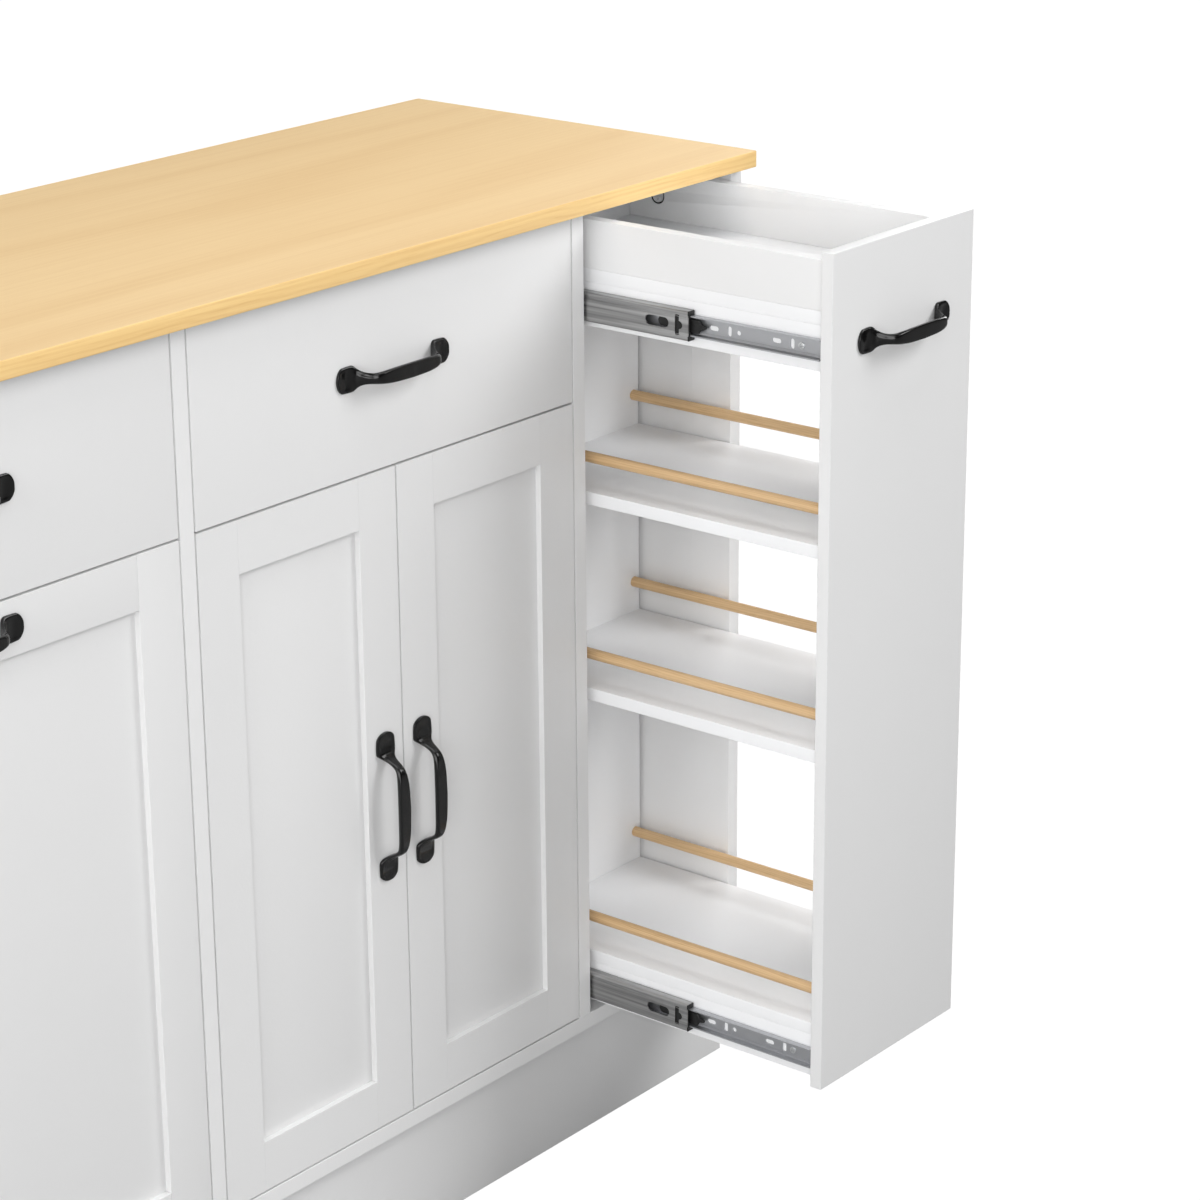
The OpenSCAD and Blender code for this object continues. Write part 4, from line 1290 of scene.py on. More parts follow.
def notch_outline(length: float, height: float, bulge: float, points: int = 64) -> Floats:
    """Outline of an upright notch with a half round on its front side.

    A ray at each angle goes as far as the upright bar or the round reaches, whichever is
    further.

    Args:
        length: size of the bar along the first axis.
        height: its size along the second axis.
        bulge: radius of the round, about the middle of the notch's front half.
        points: points in the outline.
    Returns:
        Rows of two values, anticlockwise.
    """
    angle = (np.arange(points) + 0.5) * (2 * math.pi / points)
    cosine, sine = np.cos(angle), np.sin(angle)
    bar = np.minimum(length / 2 / np.maximum(np.abs(cosine), TINY),
                     height / 2 / np.maximum(np.abs(sine), TINY))
    shift = length / 2
    root = np.sqrt(np.maximum(bulge**2 - (shift * sine) ** 2, 0.0))
    disc = np.where(bulge > np.abs(shift * sine), -shift * cosine + root, 0.0)
    return np.column_stack([cosine, sine]) * np.maximum(bar, disc)[:, None]


@dataclass
class Hole:
    """A hole in a strip.

    Args:
        place: its middle along the strip.
        outline: its outline about its middle, as rows along and across.
        metal: metal between the hole and the end of its cell.
    """

    place: float
    outline: Floats
    metal: float = 0.8 * MM

    def span(self) -> float:
        """Half of the hole's length along the strip, with some metal round it."""
        return float(np.abs(self.outline[:, 0]).max()) + self.metal

    def within(self, half_width: float) -> "Hole":
        """The hole made no higher than a strip of that half width has room for."""
        limits = np.array([np.inf, half_width])
        return Hole(self.place, np.clip(self.outline, -limits, limits))


def pierced_strip(start: float, stop: float, half_width: float, near: float, far: float,
                  holes: Sequence[Hole]) -> Shell:
    """A flat strip with holes, along local y, its face at x = near and its back at x = far.

    Each hole has a cell of the strip to itself. The face of a cell is a grid between the
    hole's outline and the cell's rectangle, which a ray from the middle through each point
    of the outline meets; the hole's wall joins the two faces. Plain stretches lie between
    the cells.

    Args:
        start: y of its front end.
        stop: y of its rear end.
        half_width: half of its width, about z = 0.
        near: x of the face that looks to -x.
        far: x of its back.
        holes: the holes, in order along the strip.
    Returns:
        Closed surfaces, one for each cell.
    """
    shells = []
    for hole in holes:
        first, last = hole.place - hole.span(), hole.place + hole.span()
        if first > start + WELD:
            shells.append(plain_cell(start, first, half_width, near, far))
        shells.append(pierced_cell(hole, max(first, start), last, half_width, near, far))
        start = last
    shells.append(plain_cell(start, stop, half_width, near, far))
    return joined(shells)


def plain_cell(first: float, last: float, half_width: float, near: float, far: float) -> Shell:
    """A plain stretch of a strip."""
    corners = np.array([[near, first], [far, first], [far, last], [near, last]])
    return prism(corners, -half_width, half_width)


def pierced_cell(hole: Hole, first: float, last: float, half_width: float, near: float,
                 far: float) -> Shell:
    """The stretch of a strip that one hole goes through.

    Args:
        hole: the hole.
        first: y of the stretch's front end.
        last: y of its rear end.
        half_width: half of the strip's width.
        near: x of the face that looks to -x.
        far: x of its back.
    Returns:
        The closed surface.
    """
    inner = hole.outline + np.array([hole.place, 0.0])
    way = hole.outline / np.maximum(np.linalg.norm(hole.outline, axis=1, keepdims=True), TINY)
    room_y = np.where(way[:, 0] > 0, last - hole.place, hole.place - first)
    reach = np.minimum(room_y / np.maximum(np.abs(way[:, 0]), TINY),
                       half_width / np.maximum(np.abs(way[:, 1]), TINY))
    outer = way * reach[:, None] + np.array([hole.place, 0.0])
    corners = np.array([[last, half_width], [first, half_width], [first, -half_width],
                        [last, -half_width]])
    nearest = np.argmin(np.linalg.norm(outer[None] - corners[:, None], axis=2), axis=1)
    outer[nearest] = corners
    loops = ((inner, near), (outer, near), (outer, far), (inner, far))
    rings = np.stack([np.column_stack([np.full(len(loop), x), loop]) for loop, x in loops])
    count = rings.shape[1]
    faces = grid_faces(5, count, True) % (4 * count)
    return Shell(rings.reshape(-1, 3), [faces[:, ::-1]])


def bent_profile(path: Floats, thickness: float, length: float) -> Shell:
    """Sheet metal bent along a path in the xz plane and drawn out along y from 0.

    The sheet's other face is the path moved sideways by the thickness, along the mean of
    the two neighbouring directions turned by a right angle.

    Args:
        path: rows of x and z along one face of the sheet.
        thickness: thickness of the sheet, to the left of the path.
        length: length along y.
    Returns:
        The closed surface.
    """
    step = np.diff(path, axis=0)
    step /= np.linalg.norm(step, axis=1, keepdims=True)
    ahead = np.concatenate([step, step[-1:]])
    behind = np.concatenate([step[:1], step])
    mean = ahead + behind
    mean /= np.linalg.norm(mean, axis=1, keepdims=True)
    stretch = 1.0 / np.maximum((mean * ahead).sum(axis=1, keepdims=True), 0.35)
    side = np.column_stack([-mean[:, 1], mean[:, 0]]) * stretch
    outline = np.concatenate([path, (path + side * thickness)[::-1]])
    rings = np.stack([np.column_stack([outline[:, 0], np.full(len(outline), y), outline[:, 1]])
                      for y in (0.0, length)])
    shell = rings_to_shell(rings)
    turn = float(np.sum(outline[:, 0] * np.roll(outline[:, 1], -1)
                        - np.roll(outline[:, 0], -1) * outline[:, 1]))
    return shell if turn < 0 else shell.flipped()


@dataclass
class Slide:
    """A telescopic slide. Its x runs across, from the carcass board to the moving unit.

    Args:
        length: length of the slide.
        wall: thickness of the steel.
        width: distance from the carcass board to the moving unit.
        outer_h: height of the cabinet member.
        mid_h: height of the intermediate member.
        inner_h: height of the inner member.
        outer_tip: x of the ends of the cabinet member's flanges.
        mid_x: x of the intermediate member's web.
        mid_tip: x of the ends of its flanges.
        mid_back: how much shorter it is than the slide.
        mid_front: y of the front end of its raised band.
        inner_tip: x of the ends of the inner member's flanges.
        track: height of the ball track beside a web.
        bend: radius of a flange's bend.
        bead: how far the band along a web is raised.
        bands: half widths of the raised bands of the cabinet, intermediate and inner members.
        rim: metal left beside a hole that is as high as its strip.
        hole_r: radius of a screw hole.
        outer_holes: places of the cabinet member's screw holes.
        notch: length, height and bulge of the intermediate member's notch.
        notch_place: place of the notch.
        window: length and height of the intermediate member's slot.
        window_place: place of that slot.
        groups: places of the first hole of each group in the inner member.
        upright: length and height of a group's upright slot.
        upright_step: distance of that slot from the first hole.
        level: length and height of a group's level slot.
        level_step: distance of that slot from the first hole.
        rear_hole: place of the inner member's rear screw hole.
    """

    length: float = 350 * MM
    wall: float = 1.2 * MM
    width: float = 12.7 * MM
    outer_h: float = 35 * MM
    mid_h: float = 26.6 * MM
    inner_h: float = 18.2 * MM
    outer_tip: float = 10.4 * MM
    mid_x: float = 2.4 * MM
    mid_tip: float = 11.4 * MM
    mid_back: float = 4.3 * MM
    mid_front: float = -0.8 * MM
    inner_tip: float = 5.2 * MM
    track: float = 3.6 * MM
    bend: float = 1.6 * MM
    bead: float = 0.4 * MM
    bands: tuple[float, float, float] = (9.0 * MM, 7.9 * MM, 5.0 * MM)
    rim: float = 0.3 * MM
    hole_r: float = 2.2 * MM
    outer_holes: tuple[float, ...] = (37 * MM, 165 * MM, 310 * MM)
    notch: tuple[float, float, float] = (4.4 * MM, 18 * MM, 3.6 * MM)
    notch_place: float = 11.7 * MM
    window: tuple[float, float] = (25.5 * MM, 9 * MM)
    window_place: float = 33.5 * MM
    groups: tuple[float, ...] = (22.5 * MM, 88.5 * MM)
    upright: tuple[float, float] = (4.2 * MM, 9 * MM)
    upright_step: float = 9.7 * MM
    level: tuple[float, float] = (9.4 * MM, 4.4 * MM)
    level_step: float = 26.2 * MM
    rear_hole: float = 330 * MM

    def flange(self, web: float, tip: float, half: float, sign: float, length: float) -> Shell:
        """One ball track and flange of a member.

        The sheet runs up from the strip's edge, dips a little where the balls run, turns by
        a quarter round and runs to the flange's tip.

        Args:
            web: x of the web's face.
            tip: x of the flange's end.
            half: half of the member's height.
            sign: 1 for the upper flange, -1 for the lower one.
            length: length of the member.
        Returns:
            The closed surface.
        """
        way = 1.0 if tip > web else -1.0
        turn = np.linspace(0.0, math.pi / 2, 6)
        corner = np.column_stack([web + way * self.bend * (1 - np.cos(turn)),
                                  sign * (half - self.bend + self.bend * np.sin(turn))])
        start = np.array([[web, sign * (half - self.track)]])
        path = np.concatenate([start, corner, [[tip, sign * half]]])
        thickness = self.wall if sign * way < 0 else -self.wall
        return bent_profile(path, thickness, length)

    def member(self, web: float, tip: float, height: float, holes: Sequence[Hole],
               raised: float, back: float = 0.0, front: float = 0.0) -> Shell:
        """A whole member: a pierced web with a raised band along it, between two flanges.

        Args:
            web: x of the raised band's face.
            tip: x of the flanges' ends.
            height: height of the member.
            holes: the holes in its web.
            raised: half width of the raised band.
            back: how much shorter the member is than the slide.
            front: y of the band's front end.
        Returns:
            Its closed surfaces.
        """
        half, length = height / 2, self.length - back
        way = 1.0 if tip > web else -1.0
        base = web + way * self.bead
        strips = [(base, web + way * self.wall, half - self.track, 0.0), (web, base, raised, front)]
        shells = []
        for one, other, wide, start in strips:
            near, far = sorted((one, other))
            narrow = [hole.within(wide - self.rim) for hole in holes]
            shells.append(pierced_strip(start, length, wide, near, far, narrow))
        shells += [self.flange(base, tip, half, sign, length) for sign in (1.0, -1.0)]
        return joined(shells)

    def round_hole(self, place: float) -> Hole:
        """A screw hole at a place."""
        return Hole(place, slot_outline(2 * self.hole_r, 2 * self.hole_r))

    def outer(self) -> Shell:
        """Cabinet member with its screw holes."""
        holes = [self.round_hole(place) for place in self.outer_holes]
        return self.member(0.0, self.outer_tip, self.outer_h, holes, self.bands[0])

    def mid(self) -> Shell:
        """Intermediate member with a notch and a long slot near its front end."""
        holes = [Hole(self.notch_place, notch_outline(*self.notch)),
                 Hole(self.window_place, slot_outline(*self.window))]
        return self.member(self.mid_x, self.mid_tip, self.mid_h, holes, self.bands[1],
                           self.mid_back, self.mid_front)

    def inner(self) -> Shell:
        """Inner member with a round hole, an upright slot and a level slot in each group.

        Returns:
            Its closed surfaces.
        """
        holes = []
        for start in self.groups:
            holes += [self.round_hole(start),
                      Hole(start + self.upright_step, slot_outline(*self.upright)),
                      Hole(start + self.level_step, slot_outline(*self.level))]
        holes.append(self.round_hole(self.rear_hole))
        return self.member(self.width, self.inner_tip, self.inner_h, holes, self.bands[2])

    def made(self, kind: Member) -> Shell:
        """One of the three members."""
        return {Member.CABINET: self.outer, Member.MIDDLE: self.mid, Member.INNER: self.inner}[kind]()


@dataclass
class SlideSet:
    """The members of one kind in one node, each in the box of its own solid.

    Args:
        node: the node that they stand for.
        kind: which member they are.
        finish: their finish.
        slide: the slide's sizes.
        beside: least and greatest distance of a member's left side from the board it hangs on.
    """

    node: str
    kind: Member
    finish: Finish
    slide: Slide = field(default_factory=Slide)
    beside: tuple[float, float] = (-1 * MM, 14 * MM)

    def build(self, frame: Frame) -> None:
        """Makes the members; one whose web lies to +x of its flanges' tips is mirrored.

        Args:
            frame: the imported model.
        """
        member = self.slide.made(self.kind)
        own_low, own_high = member.points[:, 0].min(), member.points[:, 0].max()
        shells = []
        for low, high in frame.solids(self.node):
            flip = self.mirrored(low)
            axes = np.diag([-1.0 if flip else 1.0, 1.0, 1.0])
            origin = [high[0] + own_low if flip else low[0] - own_low, low[1],
                      (low[2] + high[2]) / 2]
            shells.append(member.placed(axes, origin))
        frame.adopt(write_mesh(f"{self.node}_steel", joined(shells), 35.0), self.node,
                    self.finish.material())

    def mirrored(self, low: Floats) -> bool:
        """Whether a member hangs on the board to its right, with no board close on its left.

        Args:
            low: lowest corner of the member's box.
        Returns:
            Whether it is mirrored.
        """
        walls = ("side_panel_left", "divider_left", "divider_right")
        faces = [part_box(wall)[1][0] for wall in walls]
        return not any(self.beside[0] < low[0] - face < self.beside[1] for face in faces)


@dataclass
class RackSlideParts:
    """The plastic parts of the rack's slides: the end clips and the release levers.

    Args:
        slide: the slide's sizes.
        gap: clearance between a clip's lining and the steel.
        nose: depth of a clip's bumpers and bar.
        bumper_h: height of a bumper.
        bumper_r: radius of its edges.
        side: how far a clip lies inside the sides of its member.
        bar: where a clip's bar starts and ends, from the member's web.
        bar_short: how much shorter the bar is than the member at each end.
        bar_back: how far the bar lies behind the bumpers.
        lining_l: how far the lining reaches into the member.
        lining_t: thickness of the lining.
        lever_t: thickness of a lever.
        lever_ease: chamfer round its faces.
        tail_l: length of a lever from its nose to the round end of its tail.
        tail_r: half width of its tail.
        shoulders: corners of a lever's lower side along and across, in millimetres, from
            the nose to the block behind it.
        boss_r: radius of the boss on a lever.
        boss_h: height of the boss.
        boss_place: where the boss stands, across and along.
    """

    slide: Slide = field(default_factory=Slide)
    gap: float = 0.1 * MM
    nose: float = 1.6 * MM
    bumper_h: float = 4.4 * MM
    bumper_r: float = 0.9 * MM
    side: float = 0.2 * MM
    bar: tuple[float, float] = (1.4 * MM, 3.4 * MM)
    bar_short: float = 2 * MM
    bar_back: float = 0.4 * MM
    lining_l: float = 22 * MM
    lining_t: float = 1 * MM
    lever_t: float = 2.0 * MM
    lever_ease: float = 0.3 * MM
    tail_l: float = 52.0
    tail_r: float = 4.5
    shoulders: tuple[tuple[float, float], ...] = ((0.3, -0.6), (1.0, -1.3), (6.0, -2.2),
                                                  (8.0, -6.0), (20.0, -6.0))
    boss_r: float = 2.0 * MM
    boss_h: float = 6.0 * MM
    boss_place: tuple[float, float] = (0.2 * MM, 30 * MM)

    def build(self, frame: Frame) -> None:
        """Makes the clips and the levers.

        Args:
            frame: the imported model.
        """
        clip, upright = self.clip(), np.eye(3)
        clips = [clip.placed(upright, (low[0] - self.slide.mid_x, low[1], (low[2] + high[2]) / 2))
                 for low, high in frame.solids("rack_slide_clips")]
        frame.adopt(write_mesh("rack_slide_clips_moulding", joined(clips)), "rack_slide_clips",
                    SLIDE_PLASTIC_AND_CAM_SHADE.material())
        for node in ("rack_lever_upper", "rack_lever_lower"):
            low, high = frame.solids(node)[0]
            lever = self.lever().placed(upright, (low[0], low[1], (low[2] + high[2]) / 2))
            frame.adopt(write_mesh(f"{node}_moulding", lever), node, SLIDE_PLASTIC_AND_CAM_SHADE.material())

    def clip(self) -> Shell:
        """An end clip: bumpers on the member's corners, a bar between them, and a lining inside.

        Returns:
            The closed surfaces, with x = 0 on the carcass board.
        """
        half = self.slide.mid_h / 2
        x0, x1 = self.slide.mid_x, self.slide.mid_tip
        inside = half - self.slide.wall - self.gap
        lining, thick = x0 + self.slide.wall + self.gap, self.lining_t
        parts = []
        for low_z, high_z in ((-half, self.bumper_h - half), (half - self.bumper_h, half)):
            parts.append(rounded_box((x0 + self.side, 0, low_z), (x1, self.nose, high_z),
                                     self.bumper_r))
        parts.append(rounded_box((x0 + self.bar[0], self.bar_back, self.bar_short - half),
                                 (x0 + self.bar[1], self.nose, half - self.bar_short), 0.5 * MM))
        for low_z, high_z in ((-inside, thick - inside), (inside - thick, inside)):
            parts.append(rounded_box((lining, thick, low_z), (x1 - self.side, self.lining_l, high_z),
                                     THIN_EDGE))
        parts.append(rounded_box((lining, thick, -inside), (lining + thick, self.lining_l, inside),
                                 THIN_EDGE))
        return joined(parts)

    def lever(self) -> Shell:
        """A release lever: a narrow nose, a block behind it, a tail with a round end, a boss.

        Returns:
            The closed surfaces, with the nose at y = 0.
        """
        turn = np.linspace(-math.pi / 2, math.pi / 2, 13)[1:-1]
        middle = self.tail_l - self.tail_r
        lower = np.array([*self.shoulders, (22.0, -self.tail_r), (middle, -self.tail_r)])
        round_end = np.column_stack([middle + self.tail_r * np.cos(turn), self.tail_r * np.sin(turn)])
        outline = np.concatenate([lower, round_end, lower[::-1] * np.array([1, -1])]) * MM
        bar = eased_prism(outline, 0.0, self.lever_t, self.lever_ease)
        carried = bar.placed(np.array([[0, 1, 0], [0, 0, 1], [1, 0, 0]], float), (0, 0, 0))
        boss = turned(np.array([[self.boss_r, 0.0], [self.boss_r, self.boss_h]]), 24)
        return joined([carried, boss.placed(along(Axis.X), (*self.boss_place, 0.0))])


# ---------- rods and fittings


@dataclass
class Rods:
    """The wooden rods: turned bars with eased ends.

    Args:
        node: the node that they stand for.
        ease: chamfer at their ends.
        stations: rings along a rod.
    """

    node: str = "rack_rods"
    ease: float = 0.6 * MM
    stations: int = 24

    def build(self, frame: Frame) -> None:
        """One bar in the box of each solid.

        Args:
            frame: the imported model.
        """
        shells = []
        for low, high in frame.solids(self.node):
            radius, length = (high[0] - low[0]) / 2, high[1] - low[1]
            stations = np.linspace(self.ease, length - self.ease, self.stations)
            profile = np.concatenate([[[radius - self.ease, 0.0]],
                                      np.column_stack([np.full(self.stations, radius), stations]),
                                      [[radius - self.ease, length]]])
            middle = (low + high) / 2
            shells.append(turned(profile, 28).placed(along(Axis.Y), (middle[0], low[1], middle[2])))
        frame.adopt(write_mesh("rack_rods_turned", joined(shells)), self.node, ROD_WOOD.material())


@dataclass
class Fittings:
    """Cam locks, shelf pins, slide screws and the rack pull's screws.

    Args:
        groove: depth of the groove round a cam lock's disc.
        disc: radius of that disc, in shares of the cam lock's.
        wide: a solid longer than this is a cam lock, a pin or a pull's screw, and not the
            head of a slide's screw.
        deep: a cam lock is at least this deep.
        ease: chamfer at the ends of a pin.
        front_t: thickness of the rack's front.
        bite: how far the rack pull's screws go into its casting.
        touch: how close two faces are that lie in one plane.
    """

    groove: float = 2.6 * MM
    disc: float = 0.8
    wide: float = 12 * MM
    deep: float = 9 * MM
    ease: float = 0.4 * MM
    front_t: float = 12 * MM
    bite: float = 1.56 * MM
    touch: float = 0.3 * MM

    def cam_shade_rim(self, radius: float, depth: float) -> Shell:
        """The body of a cam lock behind z = 0, with a groove inside its narrow rim, dressed black as
        painted shade.

        Args:
            radius: radius of the body.
            depth: how deep it goes into the board.
        Returns:
            The closed surface.
        """
        return turned(np.array([[radius, -depth], [radius, -0.2 * MM], [radius * 0.985, 0.0],
                                [radius * 0.94, 0.0], [radius * 0.93, -self.groove],
                                [radius * 0.3, -self.groove - 0.1 * MM]]), 40)

    def cam_disc(self, radius: float) -> Shell:
        """The crossed disc inside a cam lock's groove, with its face just behind z = 0."""
        height, recess = self.groove - 0.1 * MM, self.groove - 0.4 * MM
        disc = crossed_head(radius * self.disc, height, recess, 0.02, 24, 72)
        return disc.placed(np.eye(3), (0, 0, -self.groove))

    def build(self, frame: Frame) -> None:
        """Sorts the solids of the two fittings nodes by shape and makes each one.

        Args:
            frame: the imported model.
        """
        for node in ("carcass_fittings", "rack_fittings"):
            boxes = frame.solids(node)
            others = [self.fitting(*box) for box in boxes if not self.is_cam(*box)]
            cams = [self.cam_place(frame, *box) for box in boxes if self.is_cam(*box)]
            shade_rims = [self.cam_shade_rim(radius, depth).placed(*place) for radius, depth, place in cams]
            discs = [self.cam_disc(radius).placed(*place) for radius, _, place in cams]
            frame.adopt(write_mesh(f"{node}_plated", joined(others)), node, PLATED_STEEL.material())
            # the cam rims are dressed in black plastic as painted shade: the dark gap and groove
            # round each cam's disc
            frame.adopt(write_mesh(f"{node}_cam_shade_rims", joined(shade_rims)), node,
                        SLIDE_PLASTIC_AND_CAM_SHADE.material(), stands_for=False)
            frame.adopt(write_mesh(f"{node}_cam_discs", joined(discs)), node, CAM_ZINC.material(),
                        stands_for=False)

    def cam_place(self, frame: Frame, low: Floats,
                  high: Floats) -> tuple[float, float, tuple[Floats, Point]]:
        """Size and place of a cam lock that fills a solid's box.

        Args:
            frame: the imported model.
            low: lowest corner of the box.
            high: its highest corner.
        Returns:
            Its radius, its depth, and its axes with its origin.
        """
        size, middle = high - low, (low + high) / 2
        sign = 1.0 if self.faces_right(frame, high) else -1.0
        face = high[0] if sign > 0 else low[0]
        return size[1] / 2, size[0], (along(Axis.X, sign), (face, middle[1], middle[2]))

    def is_cam(self, low: Floats, high: Floats) -> bool:
        """Whether a solid is a cam lock: a deep disc across y and z."""
        size = high - low
        round_face = abs(size[1] - size[2]) < 0.5 * MM
        return bool(size[1] > self.wide and round_face and size[0] >= self.deep)

    def fitting(self, low: Floats, high: Floats) -> Shell:
        """The part that fills a solid's box: its longest and thinnest sides tell what it is.

        Args:
            low: lowest corner of the box.
            high: its highest corner.
        Returns:
            A pull's screw, a pin or the head of a slide's screw.
        """
        size, middle = high - low, (low + high) / 2
        if size[1] > self.wide and size[0] < self.deep:
            face = high[1] - SCREW_HEAD_H - self.front_t
            return pull_screw(self.front_t, self.bite).placed(along(Axis.Y, -1.0),
                                                              (middle[0], face, middle[2]))
        if size[0] > self.wide:
            radius, ease = size[1] / 2, self.ease
            profile = np.array([[radius - ease, 0], [radius, ease], [radius, size[0] - ease],
                                [radius - ease, size[0]]])
            return turned(profile, 24).placed(along(Axis.X), (low[0], middle[1], middle[2]))
        head = crossed_head(size[1] / 2, size[0], size[0] * 0.8, 0.3)
        return head.placed(along(Axis.X, -1.0), (high[0], middle[1], middle[2]))

    def faces_right(self, frame: Frame, high: Floats) -> bool:
        """Whether a cam lock's face looks to +x: its right end lies in the face of a board.

        Args:
            frame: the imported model.
            high: highest corner of the cam lock's box.
        Returns:
            Whether it looks to +x.
        """
        boards = [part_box(name)[1][0] for name in ("side_panel_left", "divider_left")]
        boards.append(min(top[0] for _, top in frame.solids("rack_tray_walls")))
        return any(abs(high[0] - face) < self.touch for face in boards)


@dataclass
class Copied:
    """A fitting whose solid already has its shape: a merged copy with soft edges.

    Args:
        node: the node that it stands for.
        finish: its finish.
        radius: radius of its edges.
    """

    node: str
    finish: Finish
    radius: float = THIN_EDGE

    def build(self, frame: Frame) -> None:
        """Makes the copy and dresses it."""
        name = f"{self.node}_part"
        piece = finished(name, merged_mesh(frame.nodes[self.node], name), 35.0)
        soften(piece, self.radius)
        frame.adopt(piece, self.node, self.finish.material())


# ---------- the island's assemblies


@dataclass
class Carcass:
    """Sides, dividers, bottom, plinth, back, rails and loose shelf, with their fittings."""

    plain: tuple[str, ...] = ("plinth_front", "plinth_back", "plinth_braces", "carcass_rails",
                              "shelf")
    pocketed: tuple[str, ...] = ("side_panel_left", "side_panel_right", "divider_left",
                                 "divider_right", "bottom_board")

    def build(self, frame: Frame) -> None:
        """Builds every board of the carcass.

        Args:
            frame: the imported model.
        """
        for node in self.plain:
            Boards(node, CARCASS_FOIL).build(frame)
        for node in self.pocketed:
            Boards(node, CARCASS_FOIL, Cut.POCKETED, POCKETED_EDGE).build(frame)
        Boards("back_panels", THIN_BOARD, radius=THIN_EDGE).build(frame)
        Copied("hinge_arms", PLATED_STEEL).build(frame)
        SlideSet("slide_cabinet_members", Member.CABINET, MEMBER_STEEL).build(frame)


@dataclass
class Rack:
    """The pull-out rack: boards, rods, pull and slides."""

    front_t: float = 12 * MM
    boards: tuple[str, ...] = ("rack_back", "rack_tray_board", "rack_rails", "rack_shelf_upper",
                               "rack_shelf_middle", "rack_shelf_bottom")

    def build(self, frame: Frame) -> None:
        """Builds the rack.

        Args:
            frame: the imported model.
        """
        Boards("rack_front", FRONT_PAINT, radius=RACK_FRONT_EDGE).build(frame)
        for node in self.boards:
            Boards(node, SHELF_FOIL).build(frame)
        Boards("rack_tray_walls", CARCASS_FOIL, Cut.POCKETED, POCKETED_EDGE).build(frame)
        Rods().build(frame)
        low, high = (np.array(corner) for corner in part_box("rack_pull"))
        Pull("rack_pull", ((low[0] + high[0]) / 2, high[1], (low[2] + high[2]) / 2), PullPose.LEVEL,
             self.front_t, screws=False).build(frame)
        SlideSet("rack_slide_inners", Member.INNER, SLIDE_STEEL).build(frame)
        SlideSet("rack_slide_mids", Member.MIDDLE, MEMBER_STEEL).build(frame)
        RackSlideParts().build(frame)


@dataclass
class Drawer:
    """A drawer: front, box, pull and slides.

    Args:
        name: start of its nodes' names.
    """

    name: str

    def build(self, frame: Frame) -> None:
        """Builds the drawer.

        Args:
            frame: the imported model.
        """
        Boards(f"{self.name}_front", FRONT_PAINT, radius=FRONT_EDGE).build(frame)
        for part in ("sides", "back"):
            Boards(f"{self.name}_{part}", CARCASS_FOIL).build(frame)
        Boards(f"{self.name}_bottom", THIN_BOARD, radius=THIN_EDGE).build(frame)
        build_front_pull(frame, f"{self.name}_pull", f"{self.name}_front", PullPose.LEVEL)
        SlideSet(f"{self.name}_slide_inners", Member.INNER, SLIDE_STEEL).build(frame)
        SlideSet(f"{self.name}_slide_mids", Member.MIDDLE, MEMBER_STEEL).build(frame)


def build_front_pull(frame: Frame, node: str, front: str, pose: PullPose) -> None:
    """Puts a pull on the face of a front, with its screws behind it."""
    low, high = (np.array(corner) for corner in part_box(node))
    face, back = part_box(front)[0][1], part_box(front)[1][1]
    centre = ((low[0] + high[0]) / 2, face, (low[2] + high[2]) / 2)
    Pull(node, centre, pose, back - face).build(frame)


@dataclass
class Caddy:
    """The pull-out caddy: a framed front, a low box, a pull and slides."""

    def build(self, frame: Frame) -> None:
        """Builds the caddy.

        Args:
            frame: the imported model.
        """
        Boards("caddy_door_frame", FRONT_PAINT, radius=THIN_EDGE).build(frame)
        Boards("caddy_door_panel", FRONT_PAINT, radius=THIN_EDGE).build(frame)
        for node in ("caddy_base", "caddy_walls"):
            Boards(node, CARCASS_FOIL).build(frame)
        build_front_pull(frame, "caddy_pull", "caddy_door_frame", PullPose.LEVEL)
        SlideSet("caddy_slide_inners", Member.INNER, SLIDE_STEEL).build(frame)
        SlideSet("caddy_slide_mids", Member.MIDDLE, MEMBER_STEEL).build(frame)


@dataclass
class HungDoor:
    """A framed door on two hinges.

    Args:
        name: start of its nodes' names.
    """

    name: str

    def build(self, frame: Frame) -> None:
        """Builds the door."""
        Boards(f"{self.name}_frame", FRONT_PAINT, Cut.POCKETED, FRONT_EDGE).build(frame)
        Boards(f"{self.name}_panel", FRONT_PAINT, radius=THIN_EDGE).build(frame)
        build_front_pull(frame, f"{self.name}_pull", f"{self.name}_frame", PullPose.UPRIGHT)
        Copied(f"{self.name}_hinge_cups", PLATED_STEEL).build(frame)


# ---------- camera, light and floor


@dataclass(frozen=True)
class Lamp:
    """A square soft light.

    Args:
        name: name of the light.
        place: where it stands.
        size: length of its sides.
        watts: its power.
    """

    name: str
    place: Point
    size: float
    watts: float

    def build(self, target: Point) -> None:
        """Makes the light and points it at a target.

        Args:
            target: the point that it looks at.
        """
        data = bpy.data.lights.new(self.name, "AREA")
        data.shape, data.size, data.energy = "SQUARE", self.size, self.watts
        lamp = bpy.data.objects.new(self.name, data)
        lamp.location = self.place
        way = Vector(target) - Vector(self.place)
        lamp.rotation_euler = way.to_track_quat("-Z", "Y").to_euler()
        bpy.context.scene.collection.objects.link(lamp)


